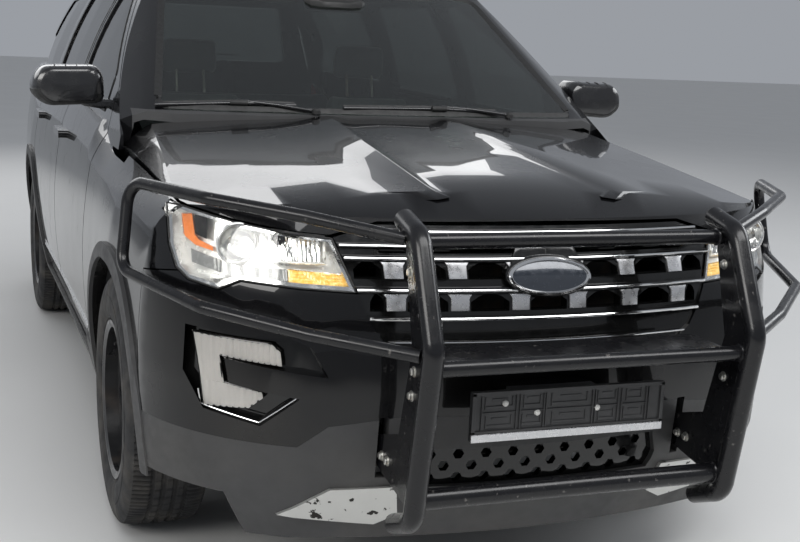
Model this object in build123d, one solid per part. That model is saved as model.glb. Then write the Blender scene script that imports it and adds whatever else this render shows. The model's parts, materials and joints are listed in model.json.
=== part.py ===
"""Unmarked police SUV with a push bar: body panels, doors, lids, glass, lamps, wheels, steering and underbody.

Millimetres, +Z up, the nose towards -Y, +X on the car's left. Shapes are drawn by their station, the
distance behind the front axle, and moved onto the frame's origin (middle of the car, on the road) when
they are saved.
"""

import os

from build123d import *

# Overall sizes of the car
WHEELBASE = 2860
FRONT_OVERHANG = 945
REAR_OVERHANG = 1232
BAR_REACH = 267
BAR_HALF = 425
TYRE_RADIUS = 375.5
TYRE_WIDTH = 245
HALF_TRACK = 851
ARCH_RADIUS = 432
KINGPIN_X = 785
SILL_Z = 300
FLOOR_Z = 395
FLOOR_DEPTH = 45
FIREWALL_S = 545
DOOR_INSIDE = 628

# Thicknesses, measured inwards from the outer surface
DOOR_SKIN = 8
SKIN_CLEAR = 18
PANEL = 40
LAMP_DEPTH = 80
WALL = 95
PILLAR = 50
GLASS_OUT = 6
GLASS_IN = 11
CLADDING = 12
PAD_RISE = 12

# Gaps
SHUT_GAP = 8
SEAM = 4
SEAT_GAP = 0.3
RUNNING_FIT = 0.05
DOOR_FLANGE = 40
CORE_GAP = 18

UNDERSIDE_Z = FLOOR_Z - FLOOR_DEPTH - SEAT_GAP

# Where the frame's origin lies, as a shift of the stations
FRONT_AXLE_Y = (BAR_REACH + FRONT_OVERHANG - WHEELBASE - REAR_OVERHANG) / 2
NOSE = -FRONT_OVERHANG
TAIL = WHEELBASE + REAR_OVERHANG
REACH_BACK = TAIL + 208
TAILGATE_S = TAIL - 262
RAIL_NOSE = NOSE + 116
RADIATOR_S = NOSE + 233
SIDES = (-1, 1)
AXLES = (0, WHEELBASE)

# Cross-sections of the lower body: station, sill x and z, widest x and z, shoulder x and z,
# upper edge x and z, height of the crown on the centre line
LOWER = (
    (-1100, 900, 215, 935, 560, 905, 930, 842, 1000, 1070),
    (-480, 915, 215, 952, 580, 925, 960, 868, 1050, 1128),
    (0, 935, 240, 990, 620, 950, 985, 822, 1116, 1174),
    (430, 930, 270, 978, 640, 950, 1000, 786, 1170, 1212),
    (760, 925, SILL_Z, 976, 650, 950, 1020, 897, 1150, 1215),
    (1700, 925, SILL_Z, 980, 650, 953, 1045, 899, 1178, 1225),
    (WHEELBASE, 925, 290, 992, 650, 958, 1065, 893, 1205, 1240),
    (WHEELBASE + 640, 905, 270, 962, 640, 938, 1072, 880, 1215, 1250),
    (WHEELBASE + 1390, 840, 260, 890, 620, 872, 1080, 828, 1222, 1255),
)

# Plan outlines of the lower body: level, station of the nose and of the tail on the centre line
LOWER_PLAN = (
    (150, NOSE + 125, TAIL - 107),
    (400, NOSE + 20, TAIL - 16),
    (620, NOSE, TAIL),
    (860, NOSE + 30, TAIL - 30),
    (1045, NOSE + 113, TAIL - 46),
    (1110, NOSE + 230, TAIL - 52),
    (1300, NOSE + 565, TAIL - 72),
)
# How the nose and tail fall back from the centre line: x and drop
NOSE_ARC = ((330, 22), (620, 88))
NOSE_CORNER = ((850, 275), (965, 530))
TAIL_ARC = ((380, 12), (700, 52))
TAIL_CORNER = ((860, 150), (945, 420))
PLAN_HALF = 1040

# Cross-sections of the greenhouse: station, base x and z, mid x and z, rail x and z, roof edge x and z, crown z
UPPER = (
    (200, 900, 1000, 795, 1400, 664, 1590, 588, 1626, 1640),
    (1300, 918, 1000, 803, 1420, 680, 1638, 606, 1680, 1707),
    (2100, 922, 1000, 803, 1430, 692, 1652, 618, 1706, 1753),
    (WHEELBASE + 340, 910, 1000, 790, 1430, 676, 1640, 600, 1696, 1738),
    (WHEELBASE + 1390, 862, 1000, 745, 1430, 640, 1598, 568, 1648, 1682),
)
# Plan outlines of the greenhouse: level, windscreen centre station, its corner x and station, tail centre station
UPPER_PLAN = (
    (980, -40, 865, 48, TAIL + 3),
    (1240, 392, 787, 490, TAIL - 62),
    (1420, 695, 733, 796, TAIL - 107),
    (1600, 995, 679, 1102, TAIL - 167),
    (1780, 1300, 625, 1408, TAIL - 262),
)
SCREEN_SIDE = ((65, 75), (150, 230))
BACK_ARC = ((300, 12), (560, 45))
BACK_CORNER = ((700, 120), (790, 330))

# Side-view outlines, as station and height
FRONT_DOOR = ((655, 345), (1640, 345), (1640, 1180), (1614, 1645), (1298, 1645), (655, 1267))
REAR_DOOR = (
    (1650, 345), (WHEELBASE - 508, 345), (WHEELBASE - 498, 455), (WHEELBASE - 450, 600), (WHEELBASE - 370, 715),
    (WHEELBASE - 275, 805), (WHEELBASE - 220, 900), (WHEELBASE - 220, 1195), (WHEELBASE - 315, 1640),
    (1624, 1645), (1650, 1180),
)
FRONT_WINDOW = ((800, 1188), (1588, 1194), (1568, 1604), (1312, 1604), (800, 1303))
REAR_WINDOW = ((1700, 1196), (WHEELBASE - 288, 1207), (WHEELBASE - 368, 1604), (1672, 1606))
QUARTER_WINDOW = ((WHEELBASE - 105, 1222), (TAIL - 362, 1232), (TAIL - 442, 1575), (WHEELBASE - 188, 1600))
FENDER_SIDE = ((-432, 250), (647, 250), (647, 1300), (-760, 1300), (-760, 914), (-432, 862))
BUMPER_SIDE = (
    (WHEELBASE + 420, 200), (REACH_BACK, 200), (REACH_BACK, 780), (TAIL - 132, 780), (WHEELBASE + 840, 722),
    (WHEELBASE + 420, 655),
)

# Front-view outlines, as x and height
SCREEN = ((-768, 1212), (768, 1212), (640, 1630), (330, 1668), (0, 1676), (-330, 1668), (-640, 1630))
TAILGATE = (
    (-690, 795), (690, 795), (752, 880), (752, 1150), (728, 1240), (625, 1630), (585, 1700), (585, 1850),
    (-585, 1850), (-585, 1700), (-625, 1630), (-728, 1240), (-752, 1150), (-752, 880),
)
BACKLIGHT = ((-610, 1268), (610, 1268), (545, 1590), (-545, 1590))
HEADLAMP = (
    (543, 994), (496, 872), (754, 884), (801, 858), (860, 869), (882, 891), (893, 943), (893, 1042),
    (862, 1041), (760, 1018), (640, 1002),
)
GRILLE = (
    (430, 1028), (537, 996), (491, 868), (470, 812), (440, 763), (400, 736),
    (-400, 736), (-440, 763), (-470, 812), (-491, 868), (-537, 996), (-430, 1028),
)
FOG_RECESS = ((868, 756), (874, 640), (832, 552), (712, 530), (627, 612), (562, 664), (600, 735), (640, 752))
FOG_BAR = ((790, 690), (781, 630), (600, 606), (500, 620), (500, 664), (562, 664))
FOG_LENS = ((849, 738), (686, 734), (664, 714), (662, 660), (706, 612), (704, 600), (734, 568), (826, 556))
HOOD_FRONT = (
    (0, 1041), (430, 1037), (548, 1003), (640, 1010), (760, 1026), (866, 1050), (866, 1400),
    (-866, 1400), (-866, 1050), (-760, 1026), (-640, 1010), (-548, 1003), (-430, 1037),
)
# The grille: pitch of its blocks, half the width of an opening, the heights of each row's openings and of the bars
GRILLE_PITCH = 160
OPENING_HALF = 51
GRILLE_ROWS = ((826, 868), (902, 942))
GRILLE_BARS = ((803, 816), (871, 885), (944, 957), (975, 985), (1008, 1020))
LOWER_INTAKE = ((-340, 372), (340, 372), (356, 420), (340, 478), (-340, 478), (-356, 420))
CLADDING_SEAM = (
    (0, 564), (394, 564), (558, 540), (630, 484), (1040, 484), (1040, 100),
    (-1040, 100), (-1040, 484), (-630, 484), (-558, 540), (-394, 564),
)
LIP_TRIM = ((383, 380), (365, 292), (420, 262), (660, 288), (545, 372))

# Plan outline of the hood's side and rear edges, as x and station
HOOD_PLAN = (
    (0, -1100), (862, -1100), (862, -480), (868, 0), (872, 452), (800, 424), (700, 392), (400, 346), (0, 332),
    (-400, 346), (-700, 392), (-800, 424), (-872, 452), (-868, 0), (-862, -480), (-862, -1100),
)
COWL_PLAN = (
    (0, 340), (400, 354), (700, 400), (800, 432), (842, 447), (842, 540), (400, 460), (0, 440),
    (-400, 460), (-842, 540), (-842, 447), (-800, 432), (-700, 400), (-400, 354),
)
# The raised pads of the hood: corners of the sloping side's foot and of its top, from the inner front round
PAD_FOOT = ((222, -772), (556, -640), (690, 470), (120, 470))
PAD_TOP = ((262, -738), (512, -622), (590, 470), (205, 470))
WIPER_LIFT = 17
# The wipers: pivot x and station, x and height where arm and blade meet, then x and height of the blade's ends
WIPERS = (
    (-250, 354, -500, 1240, (-310, 1238), (-770, 1226)),
    (470, 371, 200, 1238, (430, 1230), (-150, 1234)),
)
ROOF_SIDE = ((1130, 598), (2060, 614), (WHEELBASE + 370, 596), (TAILGATE_S - 8, 578))


def solids_of(shape):
    return list(shape.solids())


def largest(shape, count=1):
    """The biggest solids of a cut piece, without slivers."""
    found = sorted(solids_of(shape), key=lambda s: -s.volume)[:count]
    return found[0] if count == 1 else Compound(children=found)


def both(shape):
    """A piece and its mirror image, as separate solids of one node."""
    return Compound(children=[*solids_of(shape), *solids_of(mirror(shape, about=Plane.YZ))])


def group(*shapes):
    """Several pieces that don't touch, as one node."""
    return Compound(children=[solid for shape in shapes for solid in solids_of(shape)])


def box(x0, x1, s0, s1, z0, z1):
    """A block between two corners."""
    return Pos((x0 + x1) / 2, (s0 + s1) / 2, (z0 + z1) / 2) * Box(abs(x1 - x0), abs(s1 - s0), abs(z1 - z0))


def outline(points, grow=0.0, radius=0.0):
    """A flat outline, offset outwards by grow, with its corners rounded."""
    sketch = make_face(Polyline(*points, close=True))
    if grow:
        sketch = offset(sketch, grow, kind=Kind.INTERSECTION)
    if radius:
        sketch = fillet(sketch.vertices(), radius)
    return sketch


def side_prism(points, x0, x1, grow=0.0, radius=0.0):
    """A side-view outline, as station and height, run between two x."""
    return extrude(Plane.YZ.offset(min(x0, x1)) * outline(points, grow, radius), amount=abs(x1 - x0))


def front_prism(points, s0, s1, grow=0.0, radius=0.0):
    """A front-view outline, as x and height, run between two stations."""
    return extrude(Plane.XZ.offset(-max(s0, s1)) * outline(points, grow, radius), amount=abs(s1 - s0))


def plan_prism(points, z0, z1, grow=0.0, radius=0.0):
    """A plan outline, as x and station, run between two heights."""
    return extrude(Plane.XY.offset(min(z0, z1)) * outline(points, grow, radius), amount=abs(z1 - z0))


def rod_x(s, z, radius, x0, x1):
    """A cylinder across the car."""
    return Pos((x0 + x1) / 2, s, z) * Rot(0, 90, 0) * Cylinder(radius, abs(x1 - x0))


def rod_z(x, s, radius, z0, z1):
    """An upright cylinder."""
    return Pos(x, s, (z0 + z1) / 2) * Cylinder(radius, abs(z1 - z0))


def ring_x(s, z, outer, inner, x0, x1):
    return rod_x(s, z, outer, x0, x1) - rod_x(s, z, inner, x0 - 1, x1 + 1)


def tube_path(points, radius, bend):
    """A round bar along straight runs joined by bends."""
    path = FilletPolyline(*points, radius=bend)
    ring = Plane(origin=path @ 0, z_dir=path % 0) * Circle(radius)
    return sweep(ring, path=path)


def arc_chain(points):
    """A face from its corners. An entry that is a pair is an arc's mid point and the corner it ends on."""
    edges = []
    last = points[0]
    for entry in points[1:]:
        if isinstance(entry[0], tuple):
            mid, end = entry
            edges.append(ThreePointArc(last, mid, end).edge())
            last = end
        else:
            edges.append(Line(last, entry).edge())
            last = entry
    return Face(Wire(edges))


def section(left, right, crown):
    """A body section from the foot, mid, corner, turn and edge points of both sides and the crown."""
    return arc_chain([
        left[0], right[0], (right[1], right[2]), (right[3], right[4]), (crown, left[4]),
        (left[3], left[2]), (left[1], left[0]),
    ])


def lower_section(row, inset):
    s, sill_x, sill_z, wide_x, wide_z, shoulder_x, shoulder_z, edge_x, edge_z, crown_z = row
    halves = []
    for side in SIDES:
        halves.append([(side * x, s, z) for x, z in (
            (sill_x - inset, sill_z + inset),
            (wide_x - inset, wide_z),
            (shoulder_x - inset, shoulder_z - inset * 0.4),
            ((shoulder_x + edge_x) / 2 + 5 - inset, (shoulder_z + edge_z) / 2 + 5 - inset * 0.55),
            (edge_x - inset, edge_z - inset * 0.7),
        )])
    return section(*halves, (0, s, crown_z - inset))


def upper_section(row, inset):
    s, base_x, base_z, mid_x, mid_z, rail_x, rail_z, roof_x, roof_z, crown_z = row
    halves = []
    for side in SIDES:
        halves.append([(side * x, s, z) for x, z in (
            (base_x - inset, base_z),
            (mid_x - inset, mid_z),
            (rail_x - inset, rail_z - inset * 0.5),
            ((rail_x + roof_x) / 2 + 9 - inset * 0.75, (rail_z + roof_z) / 2 + 11 - inset * 0.75),
            (roof_x - inset * 0.5, roof_z - inset),
        )])
    return section(*halves, (0, s, crown_z - inset))


def plan_outline(level, nose, tail, arcs, inset):
    """A closed plan outline. The arcs are given by x and drop from the centre line."""
    nose_arc, nose_corner, tail_arc, tail_corner = arcs
    nose, tail, half = nose + inset, tail - inset, PLAN_HALF - inset

    def front(pair, side=1):
        return (side * pair[0], nose + pair[1], level)

    def back(pair, side=1):
        return (side * pair[0], tail - pair[1], level)

    nose_end, tail_end = nose_corner[1][1] + 240, tail_corner[1][1] + 240
    return arc_chain([
        front(nose_arc[1], -1),
        ((0, nose, level), front(nose_arc[1])),
        (front(nose_corner[0]), front(nose_corner[1])),
        front((half, nose_end)),
        back((half, tail_end)),
        back(tail_corner[1]),
        (back(tail_corner[0]), back(tail_arc[1])),
        ((0, tail, level), back(tail_arc[1], -1)),
        (back(tail_corner[0], -1), back(tail_corner[1], -1)),
        back((half, tail_end), -1),
        front((half, nose_end), -1),
        front(nose_corner[1], -1),
        (front(nose_corner[0], -1), front(nose_arc[1], -1)),
    ])


def lower_body(inset):
    """The body below the windows, drawn in by inset all round."""
    arcs = (NOSE_ARC, NOSE_CORNER, TAIL_ARC, TAIL_CORNER)
    across = loft([lower_section(row, inset) for row in LOWER], ruled=True)
    along = loft([plan_outline(level, nose, tail, arcs, inset) for level, nose, tail in LOWER_PLAN], ruled=True)
    return across & along


def upper_body(inset):
    """The greenhouse, drawn in by inset all round."""
    across = loft([upper_section(row, inset) for row in UPPER], ruled=True)
    plans = []
    for level, screen, corner_x, corner_s, tail in UPPER_PLAN:
        drop = corner_s - screen
        screen_arc = ((corner_x / 2, drop / 4), (corner_x, drop))
        screen_side = tuple((corner_x + dx, drop + ds) for dx, ds in SCREEN_SIDE)
        plans.append(plan_outline(level, screen, tail, (screen_arc, screen_side, BACK_ARC, BACK_CORNER), inset))
    return across & loft(plans, ruled=True)


class Body:
    """The nested body surfaces that every panel is cut from."""

    def __init__(self):
        self.low = {inset: lower_body(inset) for inset in (-CLADDING, 0, DOOR_SKIN, SKIN_CLEAR, PANEL, LAMP_DEPTH, WALL)}
        self.up = {inset: upper_body(inset) for inset in (0, GLASS_OUT, DOOR_SKIN, GLASS_IN, SKIN_CLEAR, PILLAR)}
        self.outer = self.low[0] + self.up[0]
        self.under_skin = self.low[DOOR_SKIN] + self.up[DOOR_SKIN]
        self.under_clear = self.low[SKIN_CLEAR] + self.up[SKIN_CLEAR]
        self.inner = self.low[WALL] + self.up[PILLAR]
        self.glass_layer = self.up[GLASS_OUT] - self.up[GLASS_IN]


def arches(radius, x0=560):
    """Cylinders that open the four wheel arches."""
    openings = [rod_x(s, TYRE_RADIUS, radius, side * x0, side * 1150) for s in AXLES for side in SIDES]
    return Compound(children=openings)


def hinged_door(body, door_outline, window, handle_s):
    """A left door: a thin skin over a thick, smaller core, with its window cut and a handle."""
    skin = (body.outer & side_prism(door_outline, DOOR_INSIDE, 1100, radius=18)) - body.under_skin
    core = (body.outer & side_prism(door_outline, DOOR_INSIDE, 1100, grow=-DOOR_FLANGE)) - body.inner
    core = core - box(0, 780, 500, WHEELBASE, 0, 1000) - box(0, 845, 500, WHEELBASE, 0, FLOOR_Z + 6)
    door = skin + core - side_prism(window, 500, 1100, radius=30)
    handle = side_prism(
        ((handle_s - 105, 1022), (handle_s + 105, 1026), (handle_s + 105, 1056), (handle_s - 105, 1052)),
        880, 988, radius=12,
    )
    pocket = side_prism(
        ((handle_s - 70, 1028), (handle_s + 70, 1031), (handle_s + 70, 1050), (handle_s - 70, 1047)), 880, 972,
    )
    return largest(door + (handle - pocket))


def door_jambs(body, door_outline):
    """What a left door takes out of the body, with its shut gap."""
    reach = DOOR_INSIDE - SHUT_GAP
    skin = (body.outer & side_prism(door_outline, reach, 1100, grow=SHUT_GAP)) - body.under_clear
    return skin, side_prism(door_outline, reach, 1100, grow=CORE_GAP - DOOR_FLANGE)


def pane(body, window, x0=560, x1=1100):
    """Side glass that fills a window."""
    return largest(body.glass_layer & side_prism(window, x0, x1, grow=-SEAT_GAP, radius=30 - SEAT_GAP))


def mirror_housing(body):
    """A left door mirror: a shell on a short foot, with its glass recess facing back."""
    head = front_prism(MIRROR_FRONT, 712, 842)
    head = fillet(head.edges().filter_by(Axis.Y), 26)
    head = fillet(head.faces().sort_by(Axis.Y)[0].edges(), 24)
    recess = front_prism(MIRROR_GLASS, 830, 850)
    foot = plan_prism(((862, 728), (960, 738), (960, 806), (862, 826)), 1186, 1222)
    return largest((head - recess + foot) - body.outer)


def front_door(body):
    return hinged_door(body, FRONT_DOOR, FRONT_WINDOW, 1500)


def rear_door(body):
    return hinged_door(body, REAR_DOOR, REAR_WINDOW, WHEELBASE - 420)


def hood_pad(body):
    """The raised left pad of the hood, whose sides slope down to the panel."""
    front, side, back = (Vector(x, s, z) for x, s, z in ((245, -760, 1089), (545, -600, 1068), (190, 300, 1194)))
    across, along = (side - front).normalized(), (back - front).normalized()
    up = across.cross(along).normalized()
    faces = []
    for corners, lift in ((PAD_FOOT, -3), (PAD_TOP, PAD_RISE + 3)):
        points = []
        for x, s in corners:
            z = front.Z - (up.X * (x - front.X) + up.Y * (s - front.Y)) / up.Z
            points.append(Vector(x, s, z) + up * lift)
        faces.append(make_face(Polyline(*points, close=True)))
    return body.low[-PAD_RISE] & loft(faces, ruled=True)


def hood(body):
    """The hood, with two raised pads along it and a valley between them."""
    region = plan_prism(HOOD_PLAN, 900, 1400) & front_prism(HOOD_FRONT, -1100, 560)
    panel = largest((body.low[0] & region) - body.low[PANEL])
    pad = hood_pad(body) & plan_prism(HOOD_PLAN, 900, 1400)
    pad = largest(pad - body.low[PANEL])
    return largest(panel + pad + mirror(pad, about=Plane.YZ))


def front_fender(body):
    """The left front fender, from the bumper seam to the door."""
    fender = (body.low[0] & side_prism(FENDER_SIDE, 860, 1100)) - body.low[PANEL]
    fender = fender - plan_prism(HOOD_PLAN, 800, 1500, grow=SHUT_GAP) - arches(ARCH_RADIUS)
    return largest(fender - front_prism(HEADLAMP, -1100, -440, grow=SEAM) - body.up[0])


def front_bumper(body):
    """The body-colour fascia between the hood edge and the lower cladding."""
    fascia = body.low[0] & box(-1100, 1100, -1100, -432, 484, 1100)
    fascia = fascia - body.low[PANEL] - plan_prism(HOOD_PLAN, 1000, 1500) - arches(ARCH_RADIUS)
    fascia = fascia - Pos(0, 0, -SHUT_GAP) * front_prism(HOOD_FRONT, -1100, 0)
    fascia = fascia - front_prism(GRILLE, -1100, 0, grow=SEAT_GAP)
    fascia = fascia - front_prism(CLADDING_SEAM, -1100, 0, grow=SEAT_GAP)
    for side in SIDES:
        fascia = fascia - front_prism([(side * x, z) for x, z in HEADLAMP], -1100, 0, grow=SEAM)
        recess = front_prism([(side * x, z) for x, z in FOG_RECESS], -1100, 0)
        fascia = fascia - (recess - front_prism([(side * x, z) for x, z in FOG_BAR], -1100, 0))
        fascia = fascia - side_prism(FENDER_SIDE, side * 856, side * 1100, grow=SEAM)
        fascia = fascia - box(side * (BAR_HALF - 13), side * (BAR_HALF + 13), -1100, 0, 405, 566)
    return largest(fascia)


def lower_fascia(body):
    """The dark lower cladding with its intake."""
    fascia = (body.low[0] & front_prism(CLADDING_SEAM, -1100, -432)) - body.low[PANEL]
    fascia = fascia - arches(ARCH_RADIUS) - front_prism(LOWER_INTAKE, -1100, 0)
    for side in SIDES:
        fascia = fascia - front_prism([(side * x, z) for x, z in LIP_TRIM], -1100, -700)
        fascia = fascia - box(side * (BAR_HALF - 13), side * (BAR_HALF + 13), -1100, 0, 405, 566)
    return largest(fascia - box(-1100, 1100, -700, 0, 0, 330))


def lip_trim(body):
    """The left silver corner of the lower lip."""
    return largest((body.low[-CLADDING] & front_prism(LIP_TRIM, -1100, -700, grow=-SEAT_GAP)) - body.low[PANEL])


def headlamp_lens(body):
    return largest((body.low[0] & front_prism(HEADLAMP, -1100, -440)) - body.low[DOOR_SKIN])


def headlamp_bowl(body):
    """The left lamp body: a bowl open towards the lens."""
    block = (body.low[DOOR_SKIN] & front_prism(HEADLAMP, -900, -440)) - body.low[WALL]
    hollow = body.low[DOOR_SKIN] & front_prism(HEADLAMP, -900, -440, grow=-10)
    return largest(block - (hollow - body.low[LAMP_DEPTH]))


def fog_lamp(body):
    """The left fog lamp's lens, which bends round the bar of the bumper."""
    lens = (body.low[SKIN_CLEAR] & front_prism(FOG_LENS, -1100, 0, radius=6)) - body.low[PANEL]
    return largest(lens - front_prism(FOG_BAR, -1100, 0, grow=5))


def fog_bezel(body):
    """The dark dish behind the left fog lamp, against the back of the bumper."""
    return largest((body.low[PANEL] & front_prism(FOG_RECESS, -1100, -560, grow=12)) - body.low[LAMP_DEPTH])


def arched_opening(left, right, foot, top):
    """A grille opening with a flat foot and an arched top."""
    rise, width = (top - foot) * 0.45, right - left
    near, far = 0.19 * width, 0.36 * width
    return front_prism(
        ((left, foot), (right, foot), (right, top - rise), (right - near, top - 6), (right - far, top),
         (left + far, top), (left + near, top - 6), (left, top - rise)), -1100, 0,
    )


def grille(body):
    """The dark lattice: two rows of arched openings between solid blocks, and a slot above."""
    layer = (body.low[DOOR_SKIN] & front_prism(GRILLE, -1100, 0)) - body.low[PANEL]
    for foot, top in GRILLE_ROWS:
        half = 434 + (foot - 763) * 0.45
        for i in range(-3, 4):
            left = max(i * GRILLE_PITCH - OPENING_HALF, -half)
            right = min(i * GRILLE_PITCH + OPENING_HALF, half)
            layer = layer - arched_opening(left, right, foot, top)
    return largest(layer - front_prism(((-430, 962), (430, 962), (434, 971), (-434, 971)), -1100, 0))


def grille_bars(body):
    """Bright bars across the grille, each a strip of the nose's own surface."""
    skin = (body.low[0] & front_prism(GRILLE, -1100, 0, grow=-SEAT_GAP)) - body.low[DOOR_SKIN]
    return group(*[largest(skin & box(-600, 600, -1100, 0, low, high)) for low, high in GRILLE_BARS])


def lower_mesh(body):
    layer = (body.low[SKIN_CLEAR] & front_prism(LOWER_INTAKE, -1100, 0, grow=-SEAT_GAP)) - body.low[PANEL]
    for row in range(3):
        for column in range(-5, 6):
            centre = (column + (0.5 if row % 2 else 0)) * 74
            if abs(centre) > 320:
                continue
            height = 393 + row * 32
            layer = layer - (Pos(centre, 0, height) * Rot(90, 0, 0) * extrude(RegularPolygon(15, 6), 1100))
    return largest(layer)


def windshield(body):
    return largest(body.glass_layer & front_prism(SCREEN, 100, 1500, grow=-SEAT_GAP, radius=30 - SEAT_GAP))


def roof_plan(grow=0.0):
    right = [(x, s) for s, x in ROOF_SIDE]
    left = [(-x, s) for s, x in reversed(ROOF_SIDE)]
    return plan_prism(right + left, 1600, 1900, grow=grow)


def roof_panel(body):
    roof = largest((body.up[0] & roof_plan(-SEAT_GAP)) - body.up[PILLAR] - front_prism(SCREEN, 0, 1600, radius=30))
    for side in SIDES:
        roof = roof + box(side * 380, side * 440, TAILGATE_S - 30, TAILGATE_S - SEAT_GAP, 1662, 1680)
    return roof


def tailgate_region(grow=0.0):
    return front_prism(TAILGATE, TAILGATE_S - grow, REACH_BACK, grow=grow)


def tailgate(body):
    gate = (body.outer & tailgate_region()) - body.inner
    return largest(gate - front_prism(BACKLIGHT, TAILGATE_S - 130, REACH_BACK, radius=40))


def tailgate_glass(body):
    return largest(body.glass_layer & front_prism(BACKLIGHT, TAILGATE_S + 10, REACH_BACK, grow=-SEAT_GAP, radius=40 - SEAT_GAP))


def rear_bumper(body):
    bumper = (body.low[0] & side_prism(BUMPER_SIDE, -1100, 1100)) - body.low[PANEL]
    bumper = bumper - arches(ARCH_RADIUS) - box(-1000, 1000, WHEELBASE + 340, WHEELBASE + 1040, 0, 345)
    return largest(bumper - front_prism(((-500, 560), (500, 560), (500, 200), (-500, 200)), WHEELBASE + 340, TAIL - 102))


MIRROR_FRONT = ((905, 1200), (1086, 1190), (1140, 1240), (1132, 1290), (1102, 1330), (920, 1337), (893, 1300), (890, 1230))
MIRROR_GLASS = ((918, 1224), (1080, 1216), (1116, 1250), (1110, 1284), (1086, 1306), (930, 1312), (912, 1290))
TAIL_LAMP = ((768, 905), (960, 905), (960, 1165), (768, 1165))


def tail_lamp(body):
    return largest((body.low[0] & front_prism(TAIL_LAMP, TAILGATE_S + 10, REACH_BACK)) - body.low[PANEL])


def cladding(body):
    """Mouldings round the four arches, with a strip along each sill."""
    bands = [ring_x(s, TYRE_RADIUS, ARCH_RADIUS + 42, ARCH_RADIUS - 4, 700, 1150) for s in AXLES]
    band = bands[0] + bands[1] + box(860, 1100, 440, WHEELBASE - 440, 312, 418)
    layer = (body.low[-CLADDING] & band) - body.low[0] - box(0, 1100, -900, REACH_BACK, 0, SILL_Z)
    for door_outline in (FRONT_DOOR, REAR_DOOR):
        layer = layer - side_prism(door_outline, 500, 1100, grow=SHUT_GAP)
    return both(layer)


def cowl_panel(body):
    """The dark scuttle between the hood and the windscreen."""
    cowl = (body.outer & plan_prism(COWL_PLAN, 1060, 1211)) - body.low[PANEL] - body.up[PILLAR]
    lug = ((500, 361.9), (560, 371.1), (560, 396), (500, 388))
    return largest(cowl) + both(plan_prism(lug, 1160, 1176))


def fender_room(body):
    """The layer of the body that the front fenders lie in."""
    layer = (body.low[0] & box(-1100, 1100, 300, 655, 0, 1300)) - body.low[PANEL]
    return layer - body.up[0]


def body_shell(body):
    """Floor, sills, pillars, cant rails, quarter panels, firewall and the front rails."""
    room = box(-1100, 1100, 500, REACH_BACK, 0, 1900) + box(-1100, 1100, 380, 510, 1085, 1900)
    shell = (body.outer & room) - body.inner - fender_room(body)
    shell = shell - plan_prism(COWL_PLAN, 1000, 1211, grow=SEAT_GAP)
    shell = shell - (plan_prism(HOOD_PLAN, 800, 1300, grow=SHUT_GAP) - box(-1100, 1100, 640, 900, 0, 1400))
    for door_outline in (FRONT_DOOR, REAR_DOOR):
        skin, core = door_jambs(body, door_outline)
        for cut in (skin, core):
            shell = shell - cut - mirror(cut, about=Plane.YZ)
    for side in SIDES:
        shell = shell - side_prism(QUARTER_WINDOW, side * 500, side * 1100, radius=30)
        shell = shell - front_prism([(side * x, z) for x, z in TAIL_LAMP], TAILGATE_S + 6, REACH_BACK, grow=SEAT_GAP)
    shell = shell - front_prism(SCREEN, 100, 1500, radius=30) - tailgate_region(SHUT_GAP + 1) - roof_plan()
    bumper_room = (body.low[0] & side_prism(BUMPER_SIDE, -1100, 1100, grow=SEAT_GAP)) - body.low[PANEL]
    shell = largest(shell - bumper_room)
    house = ring_x(WHEELBASE, TYRE_RADIUS, 462, 438, 560, 960) & (body.low[PANEL])
    house = house + (rod_x(WHEELBASE, TYRE_RADIUS, 462, 560, 584) & body.low[PANEL])
    house = house - box(0, 1100, WHEELBASE - 860, WHEELBASE + 840, -200, FLOOR_Z - FLOOR_DEPTH)
    shell = shell - arches(ARCH_RADIUS, 584) + house + mirror(house, about=Plane.YZ)
    shell = shell - box(-780, 780, 400, WHEELBASE + 440, 0, FLOOR_Z - FLOOR_DEPTH)
    shell = shell - box(-560, 560, WHEELBASE + 430, TAILGATE_S + 70, 0, 320)
    return shell + door_hinges()


def floor_room():
    """Where the floor pan lies, between the sills and the rear wheel houses."""
    front_half = box(-780, 780, 400, WHEELBASE - 480, 300, FLOOR_Z)
    return front_half + box(-560, 560, WHEELBASE - 480, TAILGATE_S - 130, 300, FLOOR_Z)


def door_hinges():
    """Two hinge blocks in front of each door, which carry its core."""
    blocks = []
    for door_outline in (FRONT_DOOR, REAR_DOOR):
        core_s = door_outline[0][0] + DOOR_FLANGE
        for z in (480, 890):
            for side in SIDES:
                blocks.append(box(side * 868, side * 905, core_s - 30, core_s - SEAT_GAP, z, z + 60))
    return Compound(children=blocks)


def front_structure():
    """Rails, aprons, spring towers, firewall and the radiator support."""
    frame = box(-900, 900, 505, FIREWALL_S, 350, 1180) + box(-480, 480, RADIATOR_S - 4, RADIATOR_S + 44, 905, 955)
    for side in SIDES:
        frame = frame + box(side * (BAR_HALF - 30), side * (BAR_HALF + 30), RAIL_NOSE, FIREWALL_S, 425, 515)
        frame = frame + box(side * (BAR_HALF + 30), side * (BAR_HALF + 40), NOSE + 245, FIREWALL_S, 425, 515)
        frame = frame + box(side * (BAR_HALF + 40), side * (BAR_HALF + 60), NOSE + 225, FIREWALL_S, 425, 955)
        frame = frame + box(side * 470, side * 690, -110, 110, 880, 910)
    return frame - plan_prism(COWL_PLAN, 1050, 1300, grow=1)


def wheel_liner(body):
    """The liner over the left front wheel."""
    liner = (ring_x(0, TYRE_RADIUS, 446, 436, 485, 980) & body.low[PANEL]) - rod_z(600, 0, 58, 700, 900)
    return largest(liner - box(400, 1100, -600, 600, 0, 300))


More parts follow.
